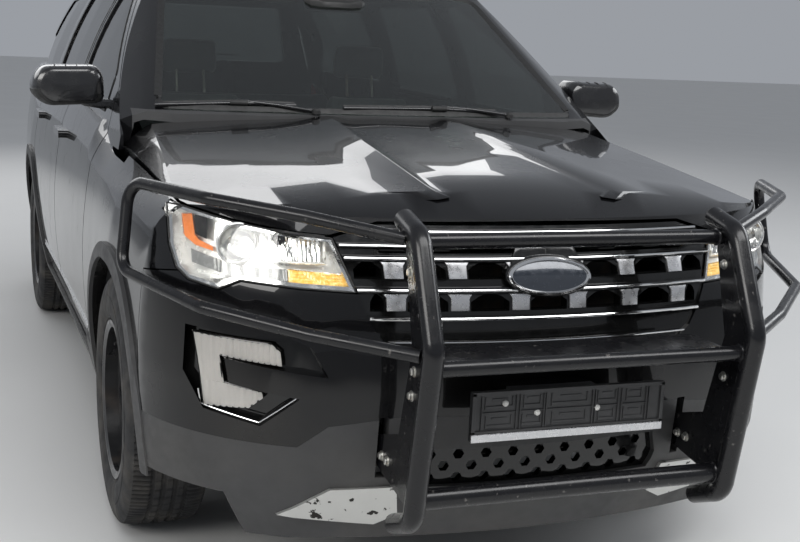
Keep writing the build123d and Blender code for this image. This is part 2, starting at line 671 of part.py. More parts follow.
def rim():
    """A steel wheel about the X axis, centred on the tyre, with its outer face towards +X."""
    profile = (
        (-112, 238), (-104, 238), (-104, 226), (-60, 226), (-50, 214), (50, 214), (60, 226), (104, 226),
        (104, 238), (112, 238), (112, 228), (106, 216), (66, 216), (60, 205), (46, 205), (52, 190), (62, 150),
        (60, 110), (49, 88), (49, 36), (40, 36), (40, 92), (50, 116), (52, 150), (42, 190), (34, 205),
        (-58, 205), (-66, 216), (-106, 216), (-112, 228),
    )
    wheel = revolve(Plane.XY * make_face(Polyline(*profile, close=True)), Axis.X)
    for index in range(10):
        slot = Pos(0, 0, 172) * Rot(0, 90, 0) * extrude(RectangleRounded(36, 62, 17), 200)
        wheel = wheel - Rot(index * 36, 0, 0) * slot
    return wheel


def tyre():
    """A hollow tyre about the X axis."""
    outer = [
        (103.7, 226.3), (103.7, 238.6), (114, 246), (121, 275), (122.5, 302), (119, 335),
        (108, 362), (94, 373.5), (80, TYRE_RADIUS),
    ]
    inner = [(84, TYRE_RADIUS - 14), (98, 352), (106, 330), (108, 300), (104, 268), (88, 240), (86, 226.3)]
    profile = [(-w, r) for w, r in outer] + [(w, r) for w, r in reversed(outer)]
    profile += [(w, r) for w, r in reversed(inner)] + [(-w, r) for w, r in inner]
    return revolve(Plane.XY * make_face(Polyline(*profile, close=True)), Axis.X)


def at_wheel(shape, s, side):
    """A left wheel piece moved to its axle and side."""
    return Pos(side * HALF_TRACK, s, TYRE_RADIUS) * (shape if side > 0 else Rot(0, 0, 180) * shape)


def wheel_with_hub():
    """The rim with the hub flange, brake disc and stub shaft that turn with it."""
    hub = rod_x(0, 0, 62, -2, 40) + rod_x(0, 0, 148, -26, -2) + rod_x(0, 0, 34, -90, -26)
    return rim() + hub + rod_x(0, 0, 36, 40, 49)


def knuckle():
    """A left wheel carrier with its bore and brake caliper, about the wheel's centre."""
    carrier = box(-94, -39, -42, 42, -127, 127) - rod_x(0, 0, 34 + RUNNING_FIT, -100, 0)
    bracket = box(-94, -50, 42, 165, -32, 32)
    caliper = box(-50, 20, 88, 165, -52, 52) - rod_x(0, 0, 154, -32, 4) - box(4, 30, 80, 104, -60, 60)
    return carrier + bracket + caliper


def suspension_arm(inner_x, outer_x, inner_half, outer_half, z0, z1):
    return plan_prism(
        ((inner_x, -inner_half), (outer_x, -outer_half), (outer_x, outer_half), (inner_x, inner_half)), z0, z1,
    )


def front_suspension():
    """Cradle, arms and coil-over units."""
    cradle = box(-400, 400, -250, 250, 190, 250) - box(-280, 280, -140, 140, 100, 300)
    for side in SIDES:
        lower_ball = rod_z(side * KINGPIN_X, 0, 13, 226, 248.2)
        lower = suspension_arm(side * 380, side * 807, 150, 27, 196, 226)
        upper = suspension_arm(side * 485, side * 803, 90, 25, 516, 540)
        upper_ball = rod_z(side * KINGPIN_X, 0, 13, 502.8, 516)
        unit = rod_z(side * 600, 0, 26, 226, 879.7) + rod_z(side * 600, 0, 46, 560, 860)
        cradle = cradle + lower + lower_ball + upper + upper_ball + unit
    return cradle


def rear_suspension():
    """Subframe, arms, carriers and springs."""
    s = WHEELBASE
    frame = box(-420, 420, s - 260, s + 260, 250, 310) - box(-300, 300, s - 150, s + 150, 200, 400)
    frame = frame + box(-130, 130, s - 200, s + 200, 290, UNDERSIDE_Z)
    for side in SIDES:
        lower = Pos(0, s, 0) * suspension_arm(side * 400, side * 790, 120, 40, 250, 285)
        spring = rod_z(side * 500, s, 50, 280, UNDERSIDE_Z)
        carrier = Pos(side * HALF_TRACK, s, TYRE_RADIUS) * (
            knuckle() if side > 0 else mirror(knuckle(), about=Plane.YZ)
        )
        frame = frame + lower + spring + carrier
    return frame


def push_bar():
    """Uprights with side plates, joined by three cross tubes and a shelf."""
    x = BAR_HALF
    bar = rod_x(NOSE - 75, 1026, 19, -x, x) + rod_x(NOSE - 215, 759, 19, -x, x) + rod_x(NOSE - 150, 425, 25.5, -x, x)
    bar = bar + box(25 - x, x - 25, NOSE - 215, NOSE - 15, 752, 758)
    back = RAIL_NOSE - SEAT_GAP
    plate = (
        (NOSE - 45, 1040), (NOSE - 115, 1020), (NOSE - 220, 800), (NOSE - 155, 400), (back, 440), (back, 500),
        (NOSE - 65, 560), (NOSE - 125, 780),
    )
    upright = tube_path(
        ((x, NOSE - 23, 1070), (x, NOSE - 130, 1045), (x, NOSE - 245, 806), (x, NOSE - 172, 380), (x, NOSE - 55, 330)),
        25.5, 60,
    )
    return bar + both(upright + side_prism(plate, x - 5, x + 5))


def wrap_bar():
    """The left loop round the headlamp."""
    points = (
        (BAR_HALF + 15, NOSE - 77, 1032), (640, NOSE + 65, 1064), (835, NOSE + 245, 1082), (975, NOSE + 545, 1086),
        (1000, NOSE + 505, 862), (860, NOSE + 165, 832), (650, NOSE - 40, 806), (BAR_HALF + 15, NOSE - 205, 788),
    )
    return tube_path(points, 16, 55)


def plate_frame(body):
    holder = box(-262, 262, NOSE - 109, NOSE - 95, 542, 664)
    stem = box(-120, 120, NOSE - 95, NOSE + 45, 570, 640) - body.low[0]
    return largest(holder + stem)


def on_screen(x, z, lift):
    """A point ahead of the windscreen's surface by the given amount."""
    return (x, 392 + 1.66 * (z - 1240) + 98 * (x / 787) ** 2 - lift, z)


def wipers(body):
    """Two arms on their pivots, each with a blade across the foot of the windscreen."""
    pieces = []
    for pivot_x, pivot_s, head_x, head_z, inner, outer in WIPERS:
        post = rod_z(pivot_x, pivot_s, 5.5, 1120, 1228) - body.outer
        blade_points = [on_screen(x, z, WIPER_LIFT) for x, z in (inner, (head_x, head_z), outer)]
        blade = tube_path(blade_points, 6, 60)
        middle = (pivot_x + head_x) / 2
        arm_points = (
            (pivot_x, pivot_s, 1222), on_screen(middle, 1238, WIPER_LIFT + 8), on_screen(head_x, head_z + 8, WIPER_LIFT + 5),
        )
        arm = tube_path(arm_points, 6, 40)
        pieces.append(largest(largest(post) + arm + blade))
    return group(*pieces)


def roof_rail(body):
    """The left roof rail on its two feet."""
    points = (
        (640, 1400, 1660), (655, 1500, 1768), (662, 2500, 1776), (648, WHEELBASE + 640, 1766),
        (628, WHEELBASE + 740, 1655),
    )
    rail = tube_path(points, 14, 60)
    return largest(rail - body.outer)


def seat(x, s):
    """A front seat: base, cushion, back and head restraint as separate soft blocks."""
    base = box(x - 180, x + 180, s - 200, s + 200, FLOOR_Z, 520)
    cushion = fillet(box(x - 250, x + 250, s - 260, s + 345, 520.2, 650).edges(), 30)
    back = side_prism(((s + 180, 650.4), (s + 318, 650.4), (s + 450, 1230), (s + 335, 1230)), x - 245, x + 245)
    back = fillet(back.edges(), 32)
    rest = fillet(box(x - 130, x + 130, s + 370, s + 460, 1260, 1430).edges(), 30)
    posts = rod_z(x - 60, s + 410, 7, 1215, 1290) + rod_z(x + 60, s + 410, 7, 1215, 1290)
    return group(base, cushion, (back + rest + posts))


def rear_bench(body):
    block = box(-530, 530, 2060, 2620, FLOOR_Z - 30, 640)
    cushion = fillet(block.faces().sort_by(Axis.Z)[-1].edges() + block.edges().filter_by(Axis.Z), 40) & body.inner
    back = fillet(side_prism(((2470, 640.4), (2600, 640.4), (2700, 1190), (2590, 1190)), -530, 530).edges(), 35)
    return group(cushion, back)


def dashboard():
    outline_points = ((FIREWALL_S + SEAT_GAP, 800), (900, 760), (930, 900), (900, 1100), (700, 1165), (FIREWALL_S + SEAT_GAP, 1130))
    return side_prism(outline_points, -790, 790, radius=30)


def steering_wheel():
    """Rim, spokes, hub and column for the left-hand driver."""
    tilt = Pos(370, 1085, 1010) * Rot(-65, 0, 0)
    wheel = Torus(182, 15) + Box(350, 38, 22) + Pos(0, -85, 0) * Box(42, 170, 20) + Cylinder(55, 50)
    return largest(tilt * (wheel + Pos(0, 0, -110) * Cylinder(28, 220)) - dashboard())


def exhaust():
    """Pipe, silencer and hangers along the right of the floor."""
    x, z = -210, 290
    pipe = tube_path(((0, 300, z), (0, 900, z), (x, 1300, z), (x, 2560, z)), 30, 80)
    pipe = pipe + fillet(box(x - 130, x + 130, 1400, 1900, 225, 330).edges(), 35)
    for s in (1100, 2200):
        pipe = pipe + rod_z(-105 if s < 1300 else x, s, 7, z, UNDERSIDE_Z)
    return pipe


def fuel_tank():
    return fillet(box(-60, 480, 2020, 2480, 235, UNDERSIDE_Z).edges().filter_by(Axis.Z), 50)


def engine():
    """The engine with its gearbox as one block on two mounts, and the radiator."""
    block = box(-330, 330, -520, -60, 300, 900)
    for side in SIDES:
        block = block + box(side * 330, side * (BAR_HALF - 30 - SEAT_GAP), -330, -260, 430, 500)
    return group(block, box(-340, 340, RADIATOR_S, RADIATOR_S + 40, 380, 905 - SEAT_GAP))


def save(name, shape):
    """One node's file, moved from stations onto the frame's origin."""
    export_step(Pos(0, FRONT_AXLE_Y, 0) * shape, f"parts/{name}.step")


def main():
    os.makedirs("parts", exist_ok=True)
    body = Body()
    shell, floor = body_shell(body), floor_room()
    save("floor_pan", group(*solids_of(shell & floor)))
    save("body_shell", group(*solids_of(shell - floor)))
    save("front_structure", largest(front_structure() & body.low[PANEL] - shell))
    save("wheel_liners", both(wheel_liner(body)))
    save("roof_panel", roof_panel(body))
    save("front_fenders", both(front_fender(body)))
    save("hood", hood(body))
    save("cowl_panel", cowl_panel(body))
    save("front_bumper", front_bumper(body))
    save("lower_fascia", lower_fascia(body))
    save("lip_trims", both(lip_trim(body)))
    save("headlamp_lenses", both(headlamp_lens(body)))
    save("headlamp_bowls", both(headlamp_bowl(body)))
    save("fog_lamps", both(fog_lamp(body)))
    save("fog_bezels", both(fog_bezel(body)))
    save("grille", group(grille(body), lower_mesh(body)))
    save("grille_bars", grille_bars(body))
    save("windshield", windshield(body))
    save("tailgate", tailgate(body))
    save("tailgate_glass", tailgate_glass(body))
    save("rear_bumper", rear_bumper(body))
    save("tail_lamps", both(tail_lamp(body)))
    save("cladding", cladding(body))
    save("quarter_glass", both(pane(body, QUARTER_WINDOW)))
    for end, door, glass in (
        ("front", front_door(body), pane(body, FRONT_WINDOW)),
        ("rear", rear_door(body), pane(body, REAR_WINDOW)),
    ):
        save(f"{end}_left_door", door)
        save(f"{end}_left_glass", glass)
        save(f"{end}_right_door", mirror(door, about=Plane.YZ))
        save(f"{end}_right_glass", mirror(glass, about=Plane.YZ))
    save("left_mirror", mirror_housing(body))
    save("right_mirror", mirror(mirror_housing(body), about=Plane.YZ))
    wheel, rubber = wheel_with_hub(), tyre()
    for end, s in (("front", 0), ("rear", WHEELBASE)):
        for name, side in (("left", 1), ("right", -1)):
            save(f"{end}_{name}_wheel", at_wheel(wheel, s, side))
            save(f"{end}_{name}_tyre", at_wheel(rubber, s, side))
    carrier = Pos(HALF_TRACK, 0, TYRE_RADIUS) * knuckle()
    save("left_knuckle", carrier)
    save("right_knuckle", mirror(carrier, about=Plane.YZ))
    save("front_suspension", front_suspension())
    save("rear_suspension", rear_suspension())
    loop = wrap_bar()
    save("push_bar", push_bar() + loop + mirror(loop, about=Plane.YZ))
    save("plate_frame", plate_frame(body))
    save("wipers", wipers(body))
    save("roof_rails", both(roof_rail(body)))
    save("engine", engine())
    save("front_seats", group(seat(-390, 1420), seat(390, 1420)))
    save("rear_bench", rear_bench(body))
    save("dashboard", dashboard())
    save("steering_wheel", steering_wheel())
    save("exhaust", exhaust())
    save("fuel_tank", fuel_tank())


main()
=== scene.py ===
"""Studio scene of a black patrol SUV with a push bar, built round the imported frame.

Points are written as in the part: x to the car's left, s rearwards from the front axle and z up, in mm.
"""

import json
import math
import random

import bmesh
import bpy
from mathutils import Matrix, Vector
from mathutils.bvhtree import BVHTree


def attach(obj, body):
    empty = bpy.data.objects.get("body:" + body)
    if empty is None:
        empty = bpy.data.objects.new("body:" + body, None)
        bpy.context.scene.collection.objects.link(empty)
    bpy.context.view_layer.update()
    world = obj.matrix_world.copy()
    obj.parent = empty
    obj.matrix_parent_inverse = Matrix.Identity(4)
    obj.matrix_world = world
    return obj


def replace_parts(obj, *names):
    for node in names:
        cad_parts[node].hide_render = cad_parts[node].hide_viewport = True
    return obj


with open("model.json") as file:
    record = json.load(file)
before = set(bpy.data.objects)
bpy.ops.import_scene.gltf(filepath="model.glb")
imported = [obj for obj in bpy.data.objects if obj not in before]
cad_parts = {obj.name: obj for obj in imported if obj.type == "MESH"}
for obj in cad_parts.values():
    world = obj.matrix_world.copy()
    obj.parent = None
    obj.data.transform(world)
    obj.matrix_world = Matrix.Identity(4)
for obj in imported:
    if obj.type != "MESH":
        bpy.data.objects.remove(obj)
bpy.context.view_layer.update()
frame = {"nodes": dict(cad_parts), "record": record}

MM = 0.001
FRONT_AXLE_Y = -1440
WHEELBASE = 2860
TYRE_RADIUS = 375.5
HALF_TRACK = 851
SIDES = (1, -1)
NAMED_SIDES = (("left", 1), ("right", -1))
AXLES = (("front", 0), ("rear", WHEELBASE))
WHEELS = [(f"{end}_{name}", s, side) for end, s in AXLES for name, side in NAMED_SIDES]
FORWARDS = Vector((0, -1, 0))
BACKWARDS = Vector((0, 1, 0))
OUT_OF_SCREEN = Vector((0, -0.86, 0.51))
rng = random.Random(7)


def place(x, s, z):
    """A point of the part in the frame's metres."""
    return Vector((x * MM, (s + FRONT_AXLE_Y) * MM, z * MM))


# Materials


DUST = (0.30, 0.27, 0.22)
# Most of the noise lies between these two values.
NOISE_LOW, NOISE_HIGH = 0.35, 0.65


class Finish:
    """A material with one Principled shader, and calls that vary it with noise of a scale and a detail."""

    def __init__(self, name, color, roughness, metallic=0.0, **sockets):
        self.material = bpy.data.materials.new(name)
        self.material.use_nodes = True
        self.tree = self.material.node_tree
        self.shader = self.tree.nodes["Principled BSDF"]
        self.shader.inputs["Base Color"].default_value = (*color, 1)
        self.shader.inputs["Roughness"].default_value = roughness
        self.shader.inputs["Metallic"].default_value = metallic
        for key, value in sockets.items():
            self.shader.inputs[key.replace("_", " ")].default_value = value

    def feed(self, socket, value):
        """Sets an input, or links it where the value is another node's output."""
        if isinstance(value, bpy.types.NodeSocket):
            self.tree.links.new(value, socket)
        else:
            socket.default_value = value

    def node(self, kind, inputs, output, **settings):
        """An output of a new node."""
        node = self.tree.nodes.new(kind)
        for key, value in settings.items():
            setattr(node, key, value)
        for key, value in inputs.items():
            self.feed(node.inputs[key], value)
        return node.outputs[output]

    def noise(self, scale, detail, stretch=(1, 1, 1)):
        """Noise in object space, with its size set by scale in waves per metre."""
        spot = self.node("ShaderNodeTexCoord", {}, "Object")
        spot = self.node("ShaderNodeMapping", {"Vector": spot, "Scale": stretch}, "Vector")
        return self.node("ShaderNodeTexNoise", {"Vector": spot, "Scale": scale, "Detail": detail}, "Fac")

    def span(self, source, low, high, out_low=0.0, out_high=1.0):
        """A value between two limits, carried to two others."""
        limits = {"From Min": low, "From Max": high, "To Min": out_low, "To Max": out_high}
        return self.node("ShaderNodeMapRange", {"Value": source, **limits}, "Result")

    def tint(self, factor, color):
        """Mixes color over the base colour that is there already."""
        socket = self.shader.inputs["Base Color"]
        under = socket.links[0].from_socket if socket.is_linked else socket.default_value
        inputs = {"A": under, "B": (*color, 1), "Factor": factor}
        self.feed(socket, self.node("ShaderNodeMix", inputs, "Result", data_type="RGBA"))
        return self

    def stain(self, scale, detail, start, end, color, amount=1.0, stretch=(1, 1, 1)):
        """Patches of another colour, where the noise rises from start to end."""
        return self.tint(self.span(self.noise(scale, detail, stretch), start, end, 0.0, amount), color)

    def rough(self, scale, detail, low, high):
        """Roughness that wanders between two values."""
        wander = self.span(self.noise(scale, detail), NOISE_LOW, NOISE_HIGH, low, high)
        self.feed(self.shader.inputs["Roughness"], wander)
        return self

    def bump(self, scale, detail, strength, distance=0.001, stretch=(1, 1, 1)):
        """Fine relief, as a shading effect only."""
        inputs = {"Strength": strength, "Distance": distance, "Height": self.noise(scale, detail, stretch)}
        self.feed(self.shader.inputs["Normal"], self.node("ShaderNodeBump", inputs, "Normal"))
        return self

    def dust(self, low, high, amount, scale):
        """Road dust that fades out between two heights over the road."""
        patch = self.span(self.noise(scale, 6.0), 0.42, 0.68)
        spot = self.node("ShaderNodeTexCoord", {}, "Object")
        height = self.node("ShaderNodeSeparateXYZ", {"Vector": spot}, "Z")
        fade = self.span(height, low, high, amount, 0.0)
        both = self.node("ShaderNodeMath", {0: patch, 1: fade}, "Value", operation="MULTIPLY")
        return self.tint(both, DUST)

    def let_lamps_through(self, color):
        """Glass that shadow rays pass, so that what is behind it is lit."""
        shadow = self.node("ShaderNodeLightPath", {}, "Is Shadow Ray")
        clear = self.node("ShaderNodeBsdfTransparent", {"Color": (*color, 1)}, "BSDF")
        inputs = {"Fac": shadow, 1: self.shader.outputs["BSDF"], 2: clear}
        mixed = self.node("ShaderNodeMixShader", inputs, "Shader")
        self.feed(self.tree.nodes["Material Output"].inputs["Surface"], mixed)
        return self


def glass(name, color, through):
    """Glass with a faint film that takes a little of its light."""
    pane = Finish(name, color, 0.0, Transmission_Weight=1.0, IOR=1.5)
    return pane.stain(5, 6.0, 0.3, 0.8, [0.8 * part for part in color], 0.3).let_lamps_through(through)


def coated(name, color, roughness, metallic, coat, coat_roughness, **sockets):
    """A finish under clear lacquer."""
    lacquer = {"Coat_Weight": coat, "Coat_Roughness": coat_roughness}
    return Finish(name, color, roughness, metallic, **lacquer, **sockets)


FINISHES = {
    "black_paint": coated(
        "gloss_black_paint", (0.003, 0.003, 0.0035), 0.25, 0.0, 1.0, 0.015,
        Specular_IOR_Level=0.12, Coat_IOR=1.38,
    ).rough(6, 4.0, 0.22, 0.28).dust(0.30, 0.85, 0.05, 3.0).bump(420, 2.0, 0.008),
    "black_plastic": Finish(
        "grained_plastic", (0.036, 0.036, 0.037), 0.5,
    ).stain(5, 4.0, 0.35, 0.7, (0.048, 0.048, 0.049)).dust(0.20, 0.60, 0.09, 3.5)
    .rough(30, 3.0, 0.44, 0.58).bump(900, 2.0, 0.25, 0.0006),
    "gloss_black": coated(
        "gloss_black_plastic", (0.004, 0.004, 0.004), 0.14, 0.0, 0.5, 0.04, Specular_IOR_Level=0.3,
    ).rough(30, 4.0, 0.08, 0.2).bump(200, 2.0, 0.01),
    "bar_coat": coated(
        "scuffed_powder_coat", (0.005, 0.005, 0.006), 0.3, 0.0, 0.35, 0.15, Specular_IOR_Level=0.25,
    ).stain(60, 6.0, 0.66, 0.72, (0.09, 0.085, 0.08))
    .stain(7, 5.0, 0.62, 0.74, (0.04, 0.038, 0.035), 0.3, (1, 1, 0.4))
    .rough(18, 5.0, 0.20, 0.36).bump(650, 3.0, 0.10, 0.0006),
    "chrome": Finish("chrome", (0.78, 0.78, 0.78), 0.08, 1.0).rough(40, 4.0, 0.05, 0.13).bump(25, 2.0, 0.02),
    "reflector": Finish("lamp_reflector", (0.86, 0.86, 0.86), 0.14, 1.0).bump(90, 1.0, 0.08),
    "satin_silver": Finish(
        "satin_silver", (0.64, 0.64, 0.65), 0.28, 0.85,
    ).rough(50, 4.0, 0.22, 0.36).bump(500, 2.0, 0.03),
    "silver_trim": Finish(
        "chipped_silver", (0.60, 0.60, 0.58), 0.36, 0.75,
    ).stain(38, 6.0, 0.65, 0.67, (0.03, 0.028, 0.025)).stain(15, 8.0, 0.64, 0.65, (0.03, 0.028, 0.025))
    .rough(20, 4.0, 0.3, 0.5).bump(60, 5.0, 0.15),
    "tinted_glass": glass("dark_glass", (0.10, 0.11, 0.11), (0.10, 0.11, 0.11)),
    "clear_glass": glass("windscreen_glass", (0.40, 0.45, 0.42), (0.36, 0.42, 0.39)),
    "lamp_lens": glass("lamp_lens", (0.96, 0.96, 0.94), (0.92, 0.92, 0.90)),
    "red_lens": coated(
        "red_lens", (0.30, 0.006, 0.008), 0.12, 0.0, 1.0, 0.02, Transmission_Weight=0.35,
    ).bump(3, 1.0, 0.1, stretch=(60, 1, 60)),
    "tyre_rubber": Finish(
        "tyre_rubber", (0.016, 0.016, 0.017), 0.78,
    ).stain(11, 6.0, 0.45, 0.75, (0.10, 0.09, 0.075), 0.55)
    .rough(25, 4.0, 0.66, 0.9).bump(500, 4.0, 0.2, 0.0006),
    "wheel_paint": coated(
        "satin_black_wheel", (0.010, 0.010, 0.011), 0.3, 0.0, 0.5, 0.15,
    ).stain(12, 6.0, 0.5, 0.8, (0.12, 0.085, 0.06), 0.35).rough(20, 4.0, 0.24, 0.5).bump(300, 3.0, 0.04),
    "chassis": Finish(
        "dusty_steel", (0.05, 0.048, 0.046), 0.6, 0.5,
    ).stain(16, 6.0, 0.5, 0.7, (0.14, 0.10, 0.07), 0.7).rough(30, 4.0, 0.5, 0.8).bump(200, 5.0, 0.2),
    "exhaust_steel": Finish(
        "exhaust_steel", (0.34, 0.31, 0.28), 0.42, 0.95,
    ).stain(10, 6.0, 0.5, 0.72, (0.16, 0.09, 0.05), 0.8).rough(30, 4.0, 0.3, 0.65).bump(150, 4.0, 0.1),
    "seat_cloth": Finish(
        "seat_cloth", (0.030, 0.030, 0.033), 0.85, Sheen_Weight=0.35, Sheen_Roughness=0.5,
    ).stain(900, 2.0, 0.4, 0.6, (0.055, 0.055, 0.060)).rough(40, 3.0, 0.78, 0.95)
    .bump(1300, 1.0, 0.5, 0.0006, (1, 1, 0.35)),
    "dash_plastic": Finish(
        "dash_plastic", (0.022, 0.022, 0.024), 0.55,
    ).stain(20, 4.0, 0.4, 0.7, (0.032, 0.032, 0.034))
    .rough(60, 3.0, 0.48, 0.66).bump(1100, 2.0, 0.25, 0.0005),
    "white_plastic": Finish("white_plastic", (0.75, 0.74, 0.70), 0.4).rough(80, 3.0, 0.3, 0.5),
    "amber_reflector": coated(
        "amber_reflector", (0.85, 0.22, 0.03), 0.25, 0.0, 1.0, 0.05,
    ).rough(60, 3.0, 0.2, 0.35),
    "light_pipe": coated("light_pipe", (0.20, 0.205, 0.21), 0.2, 0.0, 1.0, 0.05).rough(90, 3.0, 0.15, 0.3),
    "fog_glass": coated(
        "fog_glass", (0.80, 0.77, 0.72), 0.12, 0.0, 1.0, 0.03, Transmission_Weight=0.55,
    ).rough(70, 3.0, 0.08, 0.2),
    "fog_bowl": Finish("fog_bowl", (0.50, 0.47, 0.43), 0.35, 0.6).rough(40, 3.0, 0.28, 0.42),
    "rubber": Finish("soft_black_rubber", (0.012, 0.012, 0.012), 0.55).rough(60, 4.0, 0.45, 0.65),
    "mirror_glass": Finish("mirror_glass", (0.75, 0.78, 0.8), 0.02, 1.0).bump(3, 1.0, 0.01),
    "lamp_bezel": Finish("lamp_bezel", (0.86, 0.86, 0.85), 0.22, 0.45).rough(50, 3.0, 0.16, 0.3),
    "amber_lamp": coated(
        "amber_turn_lamp", (0.95, 0.50, 0.06), 0.18, 0.0, 1.0, 0.04,
    ).stain(120, 2.0, 0.4, 0.6, (0.98, 0.68, 0.20)),
    "shell_black": coated(
        "shell_black", (0.008, 0.008, 0.009), 0.2, 0.0, 0.6, 0.06,
    ).rough(24, 4.0, 0.14, 0.3),
    "badge_blank": coated(
        "blank_badge", (0.035, 0.042, 0.055), 0.24, 0.3, 1.0, 0.04,
    ).rough(60, 3.0, 0.18, 0.3),
    "zinc": Finish(
        "zinc_bolt", (0.62, 0.61, 0.57), 0.32, 1.0,
    ).rough(400, 3.0, 0.25, 0.5).stain(90, 5.0, 0.55, 0.7, (0.35, 0.24, 0.14), 0.5),
    "carpet": Finish(
        "carpet", (0.020, 0.020, 0.021), 0.95, Sheen_Weight=0.3, Sheen_Roughness=0.6,
    ).stain(35, 5.0, 0.45, 0.75, (0.045, 0.042, 0.038)).bump(700, 3.0, 0.6),
    "lining": Finish(
        "roof_lining", (0.30, 0.29, 0.27), 0.92, Sheen_Weight=0.2, Sheen_Roughness=0.6,
    ).stain(260, 2.0, 0.4, 0.6, (0.24, 0.235, 0.22)).bump(900, 2.0, 0.4, 0.0006),
}


# Mesh building


WELD_DISTANCE = 0.00002
SMOOTH_ANGLE = math.radians(24)
BEVEL_ANGLE = math.radians(35)
BEVEL_SEGMENTS = 3


def smooth_panels():
    """A modifier group that joins faces split at CAD edges and shades shallow edges smooth."""
    group = bpy.data.node_groups.new("smooth_panels", "GeometryNodeTree")
    group.interface.new_socket(name="Geometry", in_out="INPUT", socket_type="NodeSocketGeometry")
    group.interface.new_socket(name="Geometry", in_out="OUTPUT", socket_type="NodeSocketGeometry")
    source, result = group.nodes.new("NodeGroupInput"), group.nodes.new("NodeGroupOutput")
    merge = group.nodes.new("GeometryNodeMergeByDistance")
    merge.inputs["Distance"].default_value = WELD_DISTANCE
    angle = group.nodes.new("GeometryNodeInputMeshEdgeAngle")
    compare = group.nodes.new("FunctionNodeCompare")
    compare.operation = "GREATER_THAN"
    compare.inputs[1].default_value = SMOOTH_ANGLE
    normal = group.nodes.new("GeometryNodeSetMeshNormal")
    normal.inputs["Remove Custom"].default_value = True
    normal.inputs["Face Sharpness"].default_value = False
    links = group.links
    links.new(source.outputs[0], merge.inputs["Geometry"])
    links.new(merge.outputs["Geometry"], normal.inputs["Mesh"])
    links.new(angle.outputs["Unsigned Angle"], compare.inputs[0])
    links.new(compare.outputs["Result"], normal.inputs["Edge Sharpness"])
    links.new(normal.outputs["Mesh"], result.inputs[0])
    return group


SMOOTH = smooth_panels()


def finish_nodes():
    """Gives each CAD node its material and smooth shading."""
    slots = {row["node"]: row["material_slot"] for row in frame["record"]["subparts"]}
    slots["grille_bars"] = "gloss_black"
    slots["wipers"] = "shell_black"
    for name, node in frame["nodes"].items():
        node.data.materials.clear()
        node.data.materials.append(FINISHES[slots[name]].material)
        node.modifiers.new("smooth panels", "NODES").node_group = SMOOTH


def make_mesh(name, points, faces):
    """A mesh from points in metres."""
    mesh = bpy.data.meshes.new(name)
    mesh.from_pydata(points, [], faces)
    return mesh


def turn_outwards(mesh):
    """Gives the faces of a mesh one sense, outwards."""
    work = bmesh.new()
    work.from_mesh(mesh)
    bmesh.ops.recalc_face_normals(work, faces=work.faces)
    work.to_mesh(mesh)
    work.free()
    return mesh


def settle(name, mesh, finish, body="body", smooth=True, bevel=0.0, slot=None):
    """Links a mesh as a piece with its finish, edges and body."""
    thing = bpy.data.objects.new(name, mesh)
    bpy.context.scene.collection.objects.link(thing)
    mesh.materials.clear()
    mesh.materials.append(FINISHES[finish].material)
    if bevel:
        rounding = thing.modifiers.new("edges", "BEVEL")
        rounding.width = bevel * MM
        rounding.segments = BEVEL_SEGMENTS
        rounding.limit_method = "ANGLE"
        rounding.angle_limit = BEVEL_ANGLE
    for polygon in mesh.polygons:
        polygon.use_smooth = smooth
    if smooth:
        thing.modifiers.new("smooth panels", "NODES").node_group = SMOOTH
    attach(thing, body)
    return thing


